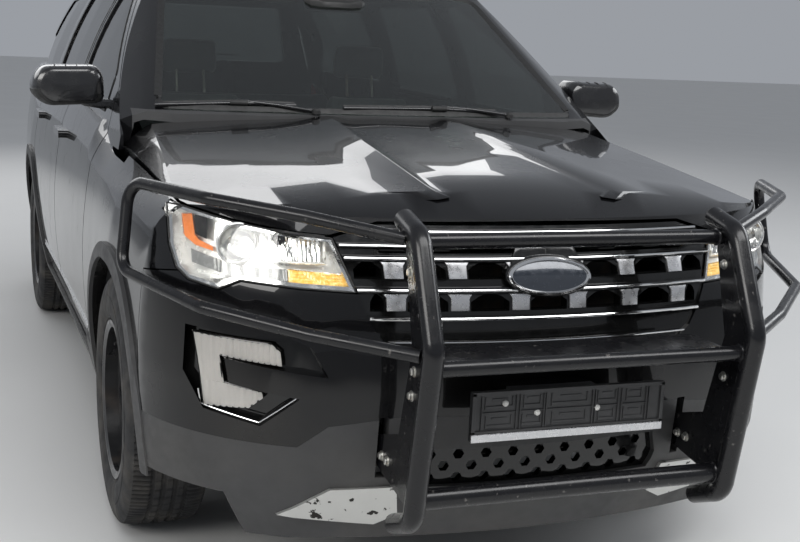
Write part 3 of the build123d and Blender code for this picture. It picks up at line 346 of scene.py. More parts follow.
class Form:
    """Points and faces gathered in mm, so that like pieces make one mesh."""

    def __init__(self):
        self.points = []
        self.faces = []

    def add(self, points, faces):
        """More points, and faces that count from the first of them."""
        start = len(self.points)
        self.points += [tuple(p) for p in points]
        self.faces += [tuple(i + start for i in face) for face in faces]
        return self

    def rings(self, rings, closed=True, caps=True):
        """Skins between equal rings of points."""
        count = len(rings[0])
        faces = []
        for row in range(len(rings) - 1):
            for i in range(count if closed else count - 1):
                j = (i + 1) % count
                faces.append((row * count + i, row * count + j, (row + 1) * count + j, (row + 1) * count + i))
        if caps:
            faces.append(tuple(range(count)))
            faces.append(tuple((len(rings) - 1) * count + i for i in range(count)))
        return self.add([p for ring in rings for p in ring], faces)

    def box(self, x0, x1, s0, s1, z0, z1):
        """A block between two limits on each axis."""
        points = [(x, s, z) for x in (x0, x1) for s in (s0, s1) for z in (z0, z1)]
        faces = [(0, 1, 3, 2), (4, 6, 7, 5), (0, 4, 5, 1), (2, 3, 7, 6), (0, 2, 6, 4), (1, 5, 7, 3)]
        return self.add(points, faces)

    def stack(self, outline, levels, centre=(0, 0)):
        """An outline of (x, s) about a centre, laid at each level of (scale, z)."""
        cx, cs = centre
        return self.rings([[(cx + x * k, cs + s * k, z) for x, s in outline] for k, z in levels])

    def prism(self, outline, low, high, axis):
        """An outline raised along an axis: x gives (s, z) and y gives (x, z)."""
        turn = {"x": lambda a, b, h: (h, a, b), "y": lambda a, b, h: (a, h, b)}[axis]
        return self.rings([[turn(a, b, h) for a, b in outline] for h in (low, high)])

    def tube(self, path, radius, sides=12):
        """A round bar along a path, with its rings kept square to it."""
        rings = []
        for i, (here, along) in enumerate(courses(path)):
            side = along.cross(Vector((0, 0, 1)) if abs(along.z) < 0.9 else Vector((0, 1, 0))).normalized()
            up = side.cross(along)
            size = radius[i] if isinstance(radius, tuple) else radius
            rings.append([here + size * (math.cos(t) * side + math.sin(t) * up) for t in turns(sides)])
        return self.rings(rings)

    def section(self, path, profile, out=FORWARDS):
        """A profile, as outward and upward offsets, carried along a path without turning about it."""
        rings = []
        for here, along in courses(path):
            up = along.cross(out).normalized()
            if up.z < 0 or (abs(up.z) < 0.2 and up.x < 0):
                up = -up
            face = up.cross(along).normalized()
            if face.dot(out) < 0:
                face = -face
            rings.append([here + a * face + b * up for a, b in profile])
        return self.rings(rings)

    def lathe(self, profile, centre, axis, sides, side=1):
        """A profile of offset and radius, turned about a line along an axis."""
        cx, cs, cz = centre
        rows = []
        for t in turns(sides):
            c, d = math.cos(t), math.sin(t)
            rows.append([{
                "x": (cx + side * w, cs + r * c, cz + r * d),
                "y": (cx + r * c, cs + side * w, cz + r * d),
                "z": (cx + r * c, cs + r * d, cz + side * w),
            }[axis] for w, r in profile])
        return self.wrap(rows)

    def wrap(self, rows):
        """Skins between equal rows of points that go once round."""
        count = len(rows[0])
        faces = []
        for k in range(len(rows)):
            a, b = k * count, (k + 1) % len(rows) * count
            faces += [(a + i, a + i + 1, b + i + 1, b + i) for i in range(count - 1)]
        return self.add([p for row in rows for p in row], faces)

    def sheet(self, top, bottom, columns, rows, spot, layers=(1, 0)):
        """A plate between two lines of pairs, with spot giving the point for a pair and a layer."""
        points, faces = [], []
        for layer in layers:
            for i in range(columns + 1):
                (a0, b0), (a1, b1) = share(top, i / columns), share(bottom, i / columns)
                for j in range(rows + 1):
                    points.append(spot(a0 + (a1 - a0) * j / rows, b0 + (b1 - b0) * j / rows, layer))
        row = rows + 1
        back = (columns + 1) * row
        for i in range(columns):
            for j in range(rows):
                a = i * row + j
                b = a + row
                faces += [(a, a + 1, b + 1, b), (back + a, back + b, back + b + 1, back + a + 1)]
            for a in (i * row, i * row + rows):
                faces.append((a, a + row, back + a + row, back + a))
        for i in (0, columns):
            for a in range(i * row, i * row + rows):
                faces.append((a, a + 1, back + a + 1, back + a))
        return self.add(points, faces)

    def piece(self, name, finish, body="body", **look):
        """A piece of this form, smoothly shaded."""
        mesh = make_mesh(name, [place(*p) for p in self.points], self.faces)
        mesh.validate()
        turn_outwards(mesh)
        return settle(name, mesh, finish, body, **look)

    def crisp(self, name, finish, bevel=0.0, body="body"):
        """A piece of this form with flat faces and small bevels."""
        return self.piece(name, finish, body, smooth=False, bevel=bevel)


def forms(count):
    """A number of empty forms."""
    return [Form() for _ in range(count)]


def turns(count):
    """Angles that go once round."""
    return [2 * math.pi * k / count for k in range(count)]


def courses(path):
    """Each point of a path with its direction there."""
    for i, point in enumerate(path):
        before, after = Vector(path[max(i - 1, 0)]), Vector(path[min(i + 1, len(path) - 1)])
        yield Vector(point), (after - before).normalized()


def steps(low, high, count):
    """Evenly spaced values from low to high."""
    return [low + (high - low) * i / (count - 1) for i in range(count)]


def spread(points, spacing):
    """Points along straight runs, so that a piece can follow a curved surface."""
    out = []
    for a, b in zip(points, points[1:]):
        a, b = Vector(a), Vector(b)
        count = max(1, round((b - a).length / spacing))
        out += [a.lerp(b, i / count) for i in range(count)]
    return out + [Vector(points[-1])]


def share(line, part):
    """The pair a share of the way along a line of pairs."""
    lengths = [math.dist(a, b) for a, b in zip(line, line[1:])]
    reach = part * sum(lengths)
    for a, b, length in zip(line, line[1:], lengths):
        if reach <= length + 1e-6:
            break
        reach -= length
    t = min(reach / length, 1.0)
    return a[0] + (b[0] - a[0]) * t, a[1] + (b[1] - a[1]) * t


def corners(a0, a1, b0, b1):
    """The outline of a rectangle."""
    return (a0, b0), (a1, b0), (a1, b1), (a0, b1)


def rounded(outline, radius, arc):
    """A closed outline with its corners turned into arcs."""
    points = [Vector(p) for p in outline]
    out = []
    for i, b in enumerate(points):
        a, c = points[i - 1], points[(i + 1) % len(points)]
        u, v = (a - b).normalized(), (c - b).normalized()
        reach = min(radius, 0.45 * (a - b).length, 0.45 * (c - b).length)
        start, end = b + u * reach, b + v * reach
        for t in (k / arc for k in range(arc + 1)):
            out.append((1 - t) ** 2 * start + 2 * t * (1 - t) * b + t ** 2 * end)
    return out


def loop(outline, radius, arc):
    """A rounded outline that ends where it starts."""
    line = rounded(outline, radius, arc)
    return line + line[:1]


AHEAD, BEHIND, BESIDE = -1600, 4600, 1400


class Surface:
    """What a straight line meets first on some CAD nodes."""

    def __init__(self, *names):
        points, faces = [], []
        for name in names:
            mesh = frame["nodes"][name].data
            start = len(points)
            points += [v.co.copy() for v in mesh.vertices]
            faces += [tuple(i + start for i in polygon.vertices) for polygon in mesh.polygons]
        self.tree = BVHTree.FromPolygons(points, faces)

    def meet(self, origin, direction):
        """The point in mm where a line from an origin in mm meets the surface, if it does."""
        hit = self.tree.ray_cast(place(*origin), direction)[0]
        return hit and Vector((hit.x / MM, hit.y / MM - FRONT_AXLE_Y, hit.z / MM))

    def front(self, x, z, otherwise=None):
        """Station where a line from the nose meets the surface."""
        hit = self.meet((x, AHEAD, z), BACKWARDS)
        return hit.y if hit else otherwise

    def back(self, x, z, otherwise=None):
        """Station where a line from the tail meets the surface."""
        hit = self.meet((x, BEHIND, z), FORWARDS)
        return hit.y if hit else otherwise

    def side(self, s, z, side, otherwise=None):
        """Where a line from one side meets the surface."""
        hit = self.meet((side * BESIDE, s, z), Vector((-side, 0, 0)))
        return hit.x if hit else otherwise

    def on_front(self, line, out=0.0, spacing=30.0):
        """A line of (x, z) laid on the front of the surface, or out of it."""
        spots = [(p.x, self.front(p.x, p.y), p.y) for p in spread(line, spacing)]
        return [(x, s - out, z) for x, s, z in spots if s is not None]

    def on_back(self, line, out=0.0, spacing=30.0):
        """A line of (x, z) laid on the back of the surface, or out of it."""
        spots = [(p.x, self.back(p.x, p.y), p.y) for p in spread(line, spacing)]
        return [(x, s + out, z) for x, s, z in spots if s is not None]

    def on_side(self, line, side, out=0.0, spacing=60.0):
        """A line of (s, z) laid on one side of the surface, or out of it."""
        spots = [(self.side(p.x, p.y, side), p.x, p.y) for p in spread(line, spacing)]
        return [(x + side * out, s, z) for x, s, z in spots if x is not None]


def ribs(pitch, height):
    """Upright rounded ribs."""
    return lambda x, z: height * abs(math.sin(math.pi * x / pitch))


def cells(pitch, height):
    """A field of small domes."""
    return lambda x, z: height * abs(math.sin(math.pi * x / pitch) * math.sin(math.pi * z / pitch))


finish_nodes()


# Wheels


TREAD_EDGES = (
    -95, -90, -85, -80, -75, -70, -66, -62, -58, -54, -46, -42, -38, -34, -28, -24, -16, -10, -5, 0,
    5, 10, 16, 24, 28, 34, 38, 42, 46, 54, 58, 62, 66, 70, 75, 80, 85, 90, 95,
)
GROOVE_COLUMNS = (9, 10, 15, 16, 21, 22, 27, 28)
TYRE_WALL = (
    (103.5, 226.5), (103.5, 238), (108, 242), (113.5, 245), (112.5, 249), (117, 258), (120.5, 272),
    (121.5, 290), (122.2, 302), (121.4, 312), (119.8, 313), (119.6, 322), (118, 336), (113.5, 350),
    (107, 361), (101, 368),
)
# Half the tread's width, how far its edges drop, and how steeply.
TREAD_HALF, CROWN_DROP, CROWN_POWER = 95, 5.6, 3.2
PITCHES = 66
PARTS = 6
CHANNEL_DEPTH, SHOULDER_DEPTH, SIPE_DEPTH, WALL_DEPTH = 8.0, 7.0, 5.0, 3.0
NUT_CIRCLE, NUT_TURN = 57, 0.3


def tread_depth(column, step):
    """Groove depth in mm at a place on the tread, as one of six steps of a pitch."""
    if column in GROOVE_COLUMNS:
        return CHANNEL_DEPTH
    shoulder = column < GROOVE_COLUMNS[0] or column > GROOVE_COLUMNS[-1]
    if step == 0 or (step == 3 and shoulder):
        return SHOULDER_DEPTH if shoulder else SIPE_DEPTH
    return 0.0


def make_tyre(name, s, side):
    """A road tyre with four grooves, cross sipes and a rim guard on its walls."""
    crown = []
    for edge in TREAD_EDGES:
        drop = CROWN_DROP * (abs(edge) / TREAD_HALF) ** CROWN_POWER
        crown.append((edge, TYRE_RADIUS - 0.3 - drop))
    columns = [(-w, r) for w, r in TYRE_WALL] + crown + [(w, r) for w, r in reversed(TYRE_WALL)]
    first, last = len(TYRE_WALL), len(TYRE_WALL) + len(TREAD_EDGES)
    total = PITCHES * PARTS
    rows = []
    for k in range(total):
        row = []
        for number, (w, r) in enumerate(columns):
            depth, slant = 0.0, 0.0
            if first <= number < last:
                depth, slant = tread_depth(number - first, k % PARTS), 0.35 * math.sin(w / 30.0)
            elif number in (first - 1, last):
                depth = WALL_DEPTH if k % PARTS in (0, 3) else 0.0
            t = 2 * math.pi * (k + slant) / total
            y, z = (r - depth) * math.cos(t), (r - depth) * math.sin(t)
            row.append((side * (HALF_TRACK + w), s + y, TYRE_RADIUS + z))
        rows.append(row)
    tread = Form().wrap(rows).piece(f"{name}_tread", "tyre_rubber", f"{name}_wheel", slot="tyre_rubber")
    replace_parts(tread, f"{name}_tyre")


NUT = ((-6, 15.5), (0, 15), (4, 10.5), (18, 10.5), (22, 8), (23, 0.5))
CAP = ((-12, 37), (6, 36), (14, 33), (20, 26), (22, 12), (22.5, 0.5))
STEM = ((50, 118, 160), (72, 110, 149), (92, 105, 142))


def make_wheel_fittings(name, s, side):
    """Five nuts, a domed cap and the valve."""
    face = side * (HALF_TRACK + 49)
    nuts, cap, valve = forms(3)
    for turn in turns(5):
        y, z = NUT_CIRCLE * math.cos(turn + NUT_TURN), NUT_CIRCLE * math.sin(turn + NUT_TURN)
        nuts.lathe(NUT, (face, s + y, TYRE_RADIUS + z), "x", 6, side)
    cap.lathe(CAP, (face, s, TYRE_RADIUS), "x", 40, side)
    valve.tube([(side * (HALF_TRACK + w), s + a, TYRE_RADIUS + b) for w, a, b in STEM], (5, 4, 4), 10)
    nuts.crisp(f"{name}_nuts", "zinc", 1.2, f"{name}_wheel")
    cap.piece(f"{name}_cap", "gloss_black", f"{name}_wheel")
    valve.piece(f"{name}_valve", "rubber", f"{name}_wheel")


for name, s, side in WHEELS:
    make_tyre(name, s, side)
    make_wheel_fittings(name, s, side)


# The nose


nose = Surface("front_bumper", "grille", "lower_fascia")
# Height and station of the nose on the centre line.
NOSE_LEVELS = ((150, -820), (400, -925), (620, -945), (860, -915), (1045, -832), (1110, -715))
GRILLE_HALF = 540
INNER_LEVEL, OUTER_LEVEL = 700, 800
NOSE_END = -560


def nose_level(z):
    """Station of the nose on the centre line at a height."""
    for (z0, s0), (z1, s1) in zip(NOSE_LEVELS, NOSE_LEVELS[1:]):
        if z <= z1:
            break
    return s0 + (s1 - s0) * (z - z0) / (z1 - z0)


def nose_face(x, z):
    """Station of the nose's surface, measured where the bumper is whole and carried up or down."""
    level = INNER_LEVEL if abs(x) < GRILLE_HALF else OUTER_LEVEL
    return nose.front(abs(x), level, NOSE_END) + nose_level(z) - nose_level(level)


def patch(form, top, bottom, depth, thick, columns=12, rows=3, relief=None, side=1):
    """A plate between two lines of (x, z) that follows the nose, with a relief on its face."""

    def spot(x, z, layer):
        lift = relief(x, z) if relief and not layer else 0
        return side * x, nose_face(x, z) + depth + layer * thick - lift, z

    form.sheet(top, bottom, columns, rows, spot, (0, 1))


def on_nose(line, out, spacing, side):
    """A line of (x, z) laid on the nose, or out of it."""
    return [(side * p.x, nose_face(p.x, p.y) - out, p.y) for p in spread(line, spacing)]


HEADLAMP_RIM = (
    (543, 994), (496, 872), (754, 884), (801, 858), (860, 869), (882, 891), (893, 943), (893, 1042),
    (862, 1041), (760, 1018), (640, 1002), (543, 994),
)
BOWL_X, BOWL_Z = 752, 966
BOWL = ((16, 50), (12, 48), (14, 45), (24, 42), (36, 34), (46, 22), (50, 9), (50, 0.5))


def make_headlamps():
    """What shows through the headlamp lenses: bezel, reflectors, turn lamp, light pipe and side reflector."""
    bezel, mirror, clear, amber, orange, pipe, dark, gasket = forms(8)
    for side in SIDES:
        patch(
            bezel, ((889, 1034), (862, 1033), (760, 1010), (640, 994), (550, 988)),
            ((889, 900), (860, 878), (801, 868), (752, 892), (504, 880)), 56, 5, 40, 8, side=side,
        )
        spot = side * BOWL_X, nose_face(BOWL_X, BOWL_Z), BOWL_Z
        mirror.lathe(BOWL, spot, "y", 40)
        clear.lathe(((18, 0.5), (20, 6), (30, 8), (50, 8)), spot, "y", 20)
        bezel.lathe(((17, 54), (12, 53), (10, 50.5), (17, 50.2)), spot, "y", 40)
        patch(mirror, ((690, 1000), (560, 990)), ((680, 934), (566, 934)), 36, 18, 36, 6, ribs(11, 4), side)
        box_edge = ((693, 1004), (552, 994), (558, 930), (681, 930), (693, 1004))
        bezel.tube(on_nose(box_edge, -32, 12, side), 4, 8)
        spot = side * 662, nose_face(662, 986), 986
        dark.lathe(((18, 16), (14, 15), (14, 11), (24, 10), (34, 6), (34, 0.5)), spot, "y", 32)
        patch(amber, ((644, 915), (504, 906)), ((645, 879), (492, 876)), 24, 12, 44, 10, cells(7, 2.5), side)
        patch(
            pipe, ((846, 939), (803, 926), (746, 913), (648, 914)),
            ((846, 907), (818, 900), (770, 888), (648, 880)), 22, 8, 64, 4, ribs(7, 1.6), side,
        )
        patch(
            orange, ((859, 1018), (857, 966), (836, 948), (801, 940)),
            ((839, 1022), (836, 972), (828, 962), (800, 950)), 28, 12, 30, 4, ribs(6, 1.0), side,
        )
        patch(dark, ((835, 1021), (809, 1016)), ((833, 974), (812, 966)), 28, 14, 30, 3, ribs(5.2, 5), side)
        patch(bezel, ((838, 892), (780, 884)), ((834, 884), (796, 876)), 26, 8, 8, 2, None, side)
        gasket.tube(on_nose(HEADLAMP_RIM, -2.5, 14, side), 2.4, 8)
    bezel.piece("headlamp_bezels", "lamp_bezel")
    mirror.piece("headlamp_reflectors", "reflector")
    clear.piece("headlamp_bulbs", "lamp_lens")
    amber.piece("turn_lamps", "amber_lamp")
    orange.piece("side_reflectors", "amber_reflector")
    pipe.piece("light_pipes", "light_pipe")
    dark.piece("headlamp_vanes", "gloss_black")
    gasket.piece("headlamp_gaskets", "rubber")


FOG_ARMS = (
    (((849, 738), (686, 734), (668, 718)), ((843, 694), (664, 683))),
    (((843, 694), (797, 693)), ((835, 624), (788, 626))),
    (((835, 624), (790, 625), (708, 614)), ((827, 557), (734, 569), (705, 600))),
)
FOG_EDGE = (
    (849, 738), (686, 734), (668, 718), (664, 683), (797, 693), (788, 626), (708, 614), (705, 600),
    (734, 569), (827, 557), (849, 738),
)


def make_fog_lamps():
    """Ribbed lenses that bend round the bumper's bar, over bright reflectors."""
    lens, mirror, rim, line = forms(4)
    for side in SIDES:
        line.tube(on_nose(((842, 600), (836, 562), (714, 538), (634, 612)), -5, 12, side), 1.8, 8)
        for top, bottom in FOG_ARMS:
            patch(lens, top, bottom, 19, 3, 96, 4, ribs(13, 3.2), side)
            patch(mirror, top, bottom, 30, 6, 40, 4, None, side)
        rim.tube(on_nose(FOG_EDGE, -21, 12, side), 3, 8)
    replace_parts(lens.piece("fog_lenses", "fog_glass", slot="lamp_lens"), "fog_lamps")
    mirror.piece("fog_reflectors", "fog_bowl")
    rim.piece("fog_rims", "gloss_black")
    line.piece("fog_lines", "chrome")


BADGE_Z = 911
# Half width, half height and how far it stands out, for each ring of the badge's parts.
BADGE_FOOT = ((119, 49, -22), (121, 51, 6), (117, 47, 12))
BADGE_RING = ((116, 45, 8), (116, 45, 15), (113, 42.5, 19), (108, 39, 18), (105, 36.5, 13))
BADGE_PLATE = ((107, 38, 10), (104, 36, 13), (80, 27, 15.5), (40, 13, 16.5), (8, 3, 17))
BEADS = ((810, 466), (878, 494), (951, 519), (980, 528), (1014, 486))
BEAD_DEPTH = -3
BLOCK_ROWS = ((828, 869), (904, 943))
BLOCK_XS = (-400, -240, -80, 80, 240, 400)


def ellipse(half_x, half_z, out):
    """A ring on the plane of the badge, which leans back with the grille."""
    low, high = nose_face(0, BADGE_Z - 44), nose_face(0, BADGE_Z + 44)
    ring = []
    for t in turns(64):
        rise = half_z * math.sin(t)
        ring.append((half_x * math.cos(t), (high + low) / 2 + (high - low) / 88 * rise - out, BADGE_Z + rise))
    return ring


def make_grille():
    """Silver blocks between the openings, beads on the bars, the blank badge and the frame's bright edge."""
    blocks, pedestal, ring, plate, edge = forms(5)
    for z, half in BEADS:
        line = [(x, nose_face(x, z) + BEAD_DEPTH, z) for x in steps(-half, half, 40)]
        edge.section(line, ((0, -4), (3, -3.4), (4.6, -1.2), (4.6, 1.2), (3, 3.4), (0, 4)))
    for foot, top in BLOCK_ROWS:
        for x in BLOCK_XS:
            outline = ((-31, top), (-24, top - 9), (-23, foot), (23, foot), (24, top - 9), (31, top))
            blocks.rings([[(x + w, nose_face(x + w, z) + depth, z) for w, z in outline] for depth in (2, 10)])
    for form, sizes in ((pedestal, BADGE_FOOT), (ring, BADGE_RING), (plate, BADGE_PLATE)):
        form.rings([ellipse(*size) for size in sizes])
    for side in SIDES:
        patch(pedestal, ((0, 984), (80, 984)), ((0, 940), (104, 930)), -4, 18, 6, 3, None, side)
        edge.tube(on_nose(((0, 751), (420, 752)), 1, 20, side), 2.4, 8)
    blocks.piece("grille_blocks", "satin_silver", bevel=1.5)
    pedestal.piece("badge_pedestal", "gloss_black", bevel=1.0)
    ring.piece("badge_ring", "chrome")
    plate.piece("badge_plate", "badge_blank")
    edge.piece("grille_edge", "chrome")


PLATE_FACE = -1054
PLATE_HALF = 264
PLATE_COLUMNS = (-238, -146, -136, -72, -66, 62, 70, 134, 144, 214, 222)
PLATE_SPANS = ((-238, -146), (-136, -72), (-66, 62), (70, 134), (144, 214))


def make_plate_holder():
    """The empty plate holder's raised lattice, its screws and its bright lower strip."""
    lattice, screws, strip = forms(3)

    def bar(x0, x1, z0, z1, height):
        """A raised block on the plate holder's face."""
        lattice.box(x0, x1, PLATE_FACE - height, PLATE_FACE, z0, z1)

    bar(-PLATE_HALF, PLATE_HALF, 656, 666, 6)
    bar(-PLATE_HALF, PLATE_HALF, 562, 568, 6)
    for x in (-262, 256):
        bar(x - 2, x + 8, 562, 664, 6)
    for x in PLATE_COLUMNS:
        bar(x - 1.5, x + 1.5, 568, 656, 4.5)
    for x0, x1 in PLATE_SPANS:
        bar(x0, x1, 611, 614, 3.5)
        for z0, z1 in ((573, 604), (620, 651)):
            width = x1 - x0
            inset = rng.uniform(0.08, 0.2) * width
            bar(x0 + inset, x0 + inset + 3, z0, z1, 3)
            bar(x1 - inset - 3, x1 - inset, z0 + 4, z1, 3)
            bar(x0 + inset, x1 - inset, z0 + rng.uniform(0, 5), z0 + 9, 2.5)
            bar(x0 + 0.3 * width, x1 - 0.25 * width, z1 - 8, z1 - rng.uniform(3, 5), 2)
    for x, z in ((-89, 606), (76, 608), (-176, 634)):
        screws.lathe(((-1, 8), (4, 7.5), (7, 4), (7.5, 0.5)), (x, PLATE_FACE, z), "y", 18, -1)
    strip.prism(corners(-PLATE_HALF, PLATE_HALF, 541, 561), PLATE_FACE - 7, PLATE_FACE - 1, "y")
    lattice.crisp("plate_lattice", "black_plastic", 0.8)
    screws.piece("plate_screws", "white_plastic")
    strip.crisp("plate_strip", "satin_silver", 1.5)


BAR_HALF = 425
# Station and height of the bolts, and station, height and radius of the cross tubes.
BOLTS = ((-1040, 958), (-1090, 736), (-1082, 676), (-905, 470), (-945, 470))
CROSS_TUBES = ((-1020, 1026, 19), (-1160, 759, 19), (-1095, 425, 25.5))
BOLT_HEAD = ((0, 13), (2, 13), (2.2, 9), (8, 9), (9.5, 6.5), (9.6, 0.5))


def make_bar_fittings():
    """Bolts through the side plates, weld beads and plugged tube ends."""
    bolts, beads, plugs = forms(3)
    for side in SIDES:
        for s, z in BOLTS:
            for out in SIDES:
                bolts.lathe(BOLT_HEAD, (side * BAR_HALF + out * 5, s, z), "x", 24, out)
        for s, z, radius in CROSS_TUBES:
            bead = ((-4, radius), (-3, radius + 2.6), (0, radius + 3.8), (3, radius + 2.6), (4, radius))
            beads.lathe(bead, (side * (BAR_HALF - 23), s, z), "x", 40)
        plugs.lathe(((-2, 22), (6, 21), (9, 12), (9.5, 0.5)), (side * BAR_HALF, -968, 1070), "y", 24)
    bolts.crisp("bar_bolts", "zinc", 0.8)
    beads.piece("bar_welds", "bar_coat")
    plugs.piece("bar_plugs", "rubber")


make_headlamps()
make_fog_lamps()
make_grille()
make_plate_holder()
make_bar_fittings()


# Glass trims


SCREEN = (
    (-760, 1219), (-634, 1624), (-328, 1661), (0, 1669), (328, 1661), (634, 1624), (760, 1219), (0, 1219),
)


def make_screen_trim():
    """The black band round the windscreen."""
    line = Surface("windshield").on_front(loop(SCREEN, 34, 4), 1.2, 40)
    band = Form().section(line, ((-1, -13), (2, -13), (3, 0), (2, 13), (-1, 13)), OUT_OF_SCREEN)
    band.piece("windscreen_band", "rubber")


make_screen_trim()


# The sides


STRIP = (
    (-1, -15), (2.5, -14), (3, -9), (2.5, -4), (0.8, -2.5),
    (0.8, 2.5), (2.5, 4), (3, 9), (2.5, 14), (-1, 15),
)
STRIP_Z = 447
CARD_X = 820
BELT_Z = 1180
# Height, reach and half height of the arm rest and of the map pocket.
ARM_REST = (905, 34, 42)
POCKET = (560, 22, 95)
BELT = ((-1, -7), (3, -7), (3.5, 0), (2, 7), (-1, 7))
LOCK_Z = 1040
DOOR_TRIM = {
    "front": {
        "strip": (664, 1632), "belt": ((806, 1180), (1592, 1186)), "handle": 1500,
        "window": ((794, 1182), (1594, 1188), (1574, 1610), (1310, 1610), (794, 1307)),
        "pillar": (((1578, 1602), (1611, 1602)), ((1598, 1196), (1633, 1196))),
        "card": (((720, 1170), (1590, 1176)), ((720, 430), (1590, 430))), "rest": (1000, 1450),
    },
    "rear": {
        "strip": (1658, 2334), "belt": ((1694, 1188), (2578, 1200)), "handle": 2440,
        "window": ((1694, 1190), (2578, 1201), (2498, 1610), (1666, 1612)),
        "pillar": (((1634, 1604), (1662, 1604)), ((1656, 1198), (1690, 1198))),
        "card": (((1700, 1176), (2520, 1186)), ((1700, 430), (2300, 430))), "rest": (1950, 2330),
    },
}


def door_card(surface, trim, side):
    """The moulded inner panel of a door, with its arm rest and map pocket."""
    low, high = trim["rest"]

    def inside(s, z):
        """Where a line from the middle of the cabin meets the door."""
        hit = surface.meet((0, s, z), Vector((side, 0, 0)))
        return abs(hit.x) if hit else 860

    def spot(s, z, layer):
        level = min(inside(s, z), inside(trim["handle"] - 150, z)) if z < BELT_Z else CARD_X
        along_rest = max(0.0, 1 - max(low - s, s - high, 0) / 90)
        shelf, pocket = (
            reach * along_rest * max(0.0, 1 - abs(z - middle) / half) ** 0.5
            for middle, reach, half in (ARM_REST, POCKET)
        )
        return side * (level - 2 - layer * (4 + shelf + pocket)), s, z

    return Form().sheet(*trim["card"], 30, 36, spot)


def dress_door(end, name, side):
    """Bright strip, window seals, black pillar cover, lock and inner panel of one door."""
    body = f"{end}_{name}_door"
    trim, surface = DOOR_TRIM[end], Surface(body)
    strip, seal, cover = forms(3)
    out = Vector((side, 0, 0))

    def cover_spot(s, z, layer):
        return (surface.side(s, z, side) or 0) + side * (0.2 + 1.4 * layer), s, z

    strip.section(surface.on_side([(s, STRIP_Z) for s in trim["strip"]], side), STRIP, out)
    seal.section(surface.on_side(trim["belt"], side), BELT, out)
    seal.tube(surface.on_side(loop(trim["window"], 34, 4), side, 0.5), 3.2, 8)
    cover.sheet(*trim["pillar"], 2, 14, cover_spot)
    card = door_card(surface, trim, side)
    if end == "front":
        s = trim["handle"] + 118
        profile = ((-2, 15), (1.5, 15), (2.5, 13.5), (2.6, 4), (1, 3.5), (1, 0.5))
        lock = Form().lathe(profile, (surface.side(s, LOCK_Z, side), s, LOCK_Z), "x", 24, side)
        lock.piece(f"{body}_lock", "gloss_black", body)
    strip.piece(f"{body}_strip", "satin_silver", body, bevel=0.5)
    seal.piece(f"{body}_seals", "rubber", body)
    cover.piece(f"{body}_pillar", "gloss_black", body)
    card.piece(f"{body}_card", "dash_plastic", body)


MIRROR_SHAPE = (
    (905, 1204), (1086, 1193), (1136, 1236), (1130, 1292),
    (1098, 1330), (920, 1336), (893, 1302), (890, 1232),
)
MIRROR_X, MIRROR_Z = 1010, 1266
MIRROR_RINGS = (
    (713, 0.66), (716, 0.78), (724, 0.88), (740, 0.955), (764, 0.99),
    (800, 1.0), (842, 0.995), (842, 0.93), (834, 0.91),
)
MIRROR_FOOT = ((866, 1190), (905, 1188), (960, 1196), (985, 1206))


def mirror_ring(outline, s, scale, side, proud=0.0):
    """The mirror's outline at a station, scaled about its middle and pushed out a little."""
    ring = []
    for x, z in outline:
        across = MIRROR_X + (x - MIRROR_X) * scale + (proud if x > MIRROR_X else -proud)
        ring.append((side * across, s, MIRROR_Z + (z - MIRROR_Z) * scale - proud))
    return ring


def foot_ring(x, lift, side):
    """One cross-section of the foot that carries the mirror."""
    edge = (
        (738, lift), (806, lift), (814, lift + 8), (814, 1212),
        (806, 1220), (738, 1220), (730, 1212), (730, lift + 8),
    )
    return [(side * x, s, z) for s, z in edge]


def dress_mirror(name, side):
    """A rounded shell with its lower band, top notches, foot and silvered glass."""
    shell, band, silver, notches = forms(4)
    outline = rounded(MIRROR_SHAPE, 46, 7)
    shell.rings([mirror_ring(outline, s, scale, side) for s, scale in MIRROR_RINGS])
    shell.rings([foot_ring(x, lift, side) for x, lift in MIRROR_FOOT])
    low = [p for p in outline if p.y < 1238 + 0.05 * (p.x - 900)]
    low.sort(key=lambda p: math.atan2(p.x - MIRROR_X, MIRROR_Z - p.y))
    rings = [mirror_ring(low, s, scale, side, 1.4) for s, scale in MIRROR_RINGS[1:7]]
    band.rings(rings, closed=False, caps=False)
    for x in (948, 985, 1022, 1059):
        notches.tube([(side * x, 722, 1322), (side * x, 738, 1331), (side * x, 762, 1334)], 1.6, 6)
    pane = [(side * (MIRROR_X + (x - MIRROR_X) * 0.89), MIRROR_Z + (z - MIRROR_Z) * 0.88) for x, z in outline]
    silver.prism(pane, 834, 838, "y")
    node, body = f"{name}_mirror", f"front_{name}_door"
    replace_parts(shell.piece(f"{node}_shell", "shell_black", body, slot="black_plastic"), node)
    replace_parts(band.piece(f"{node}_band", "rubber", body, slot="black_plastic"), node)
    notches.piece(f"{node}_notches", "rubber", body)
    silver.crisp(f"{node}_glass", "mirror_glass", 1.0, body)


FUEL_DOOR = corners(3210, 3350, 985, 1115)


def dress_fenders():
    """The strip's start on the fenders, and the fuel door's joint on the left rear quarter."""
    strip = Form()
    fenders, shell = Surface("front_fenders"), Surface("body_shell")
    for side in SIDES:
        line = fenders.on_side(((572, STRIP_Z), (636, STRIP_Z)), side, 0, 30)
        strip.section(line, STRIP, Vector((side, 0, 0)))
    joint = Form().tube(shell.on_side(loop(FUEL_DOOR, 30, 5), 1, 0, 20), 1.6, 6)
    strip.piece("fender_strips", "satin_silver", bevel=0.5)
    joint.piece("fuel_door_joint", "rubber")


# Place of each wiper's pivot, its blade's middle and its blade's ends.
WIPERS = (
    ((-250, 354), (-500, 1240), ((-312, 1238), (-764, 1226.5))),
    ((470, 371), (200, 1238), ((426, 1230), (-146, 1234))),
)


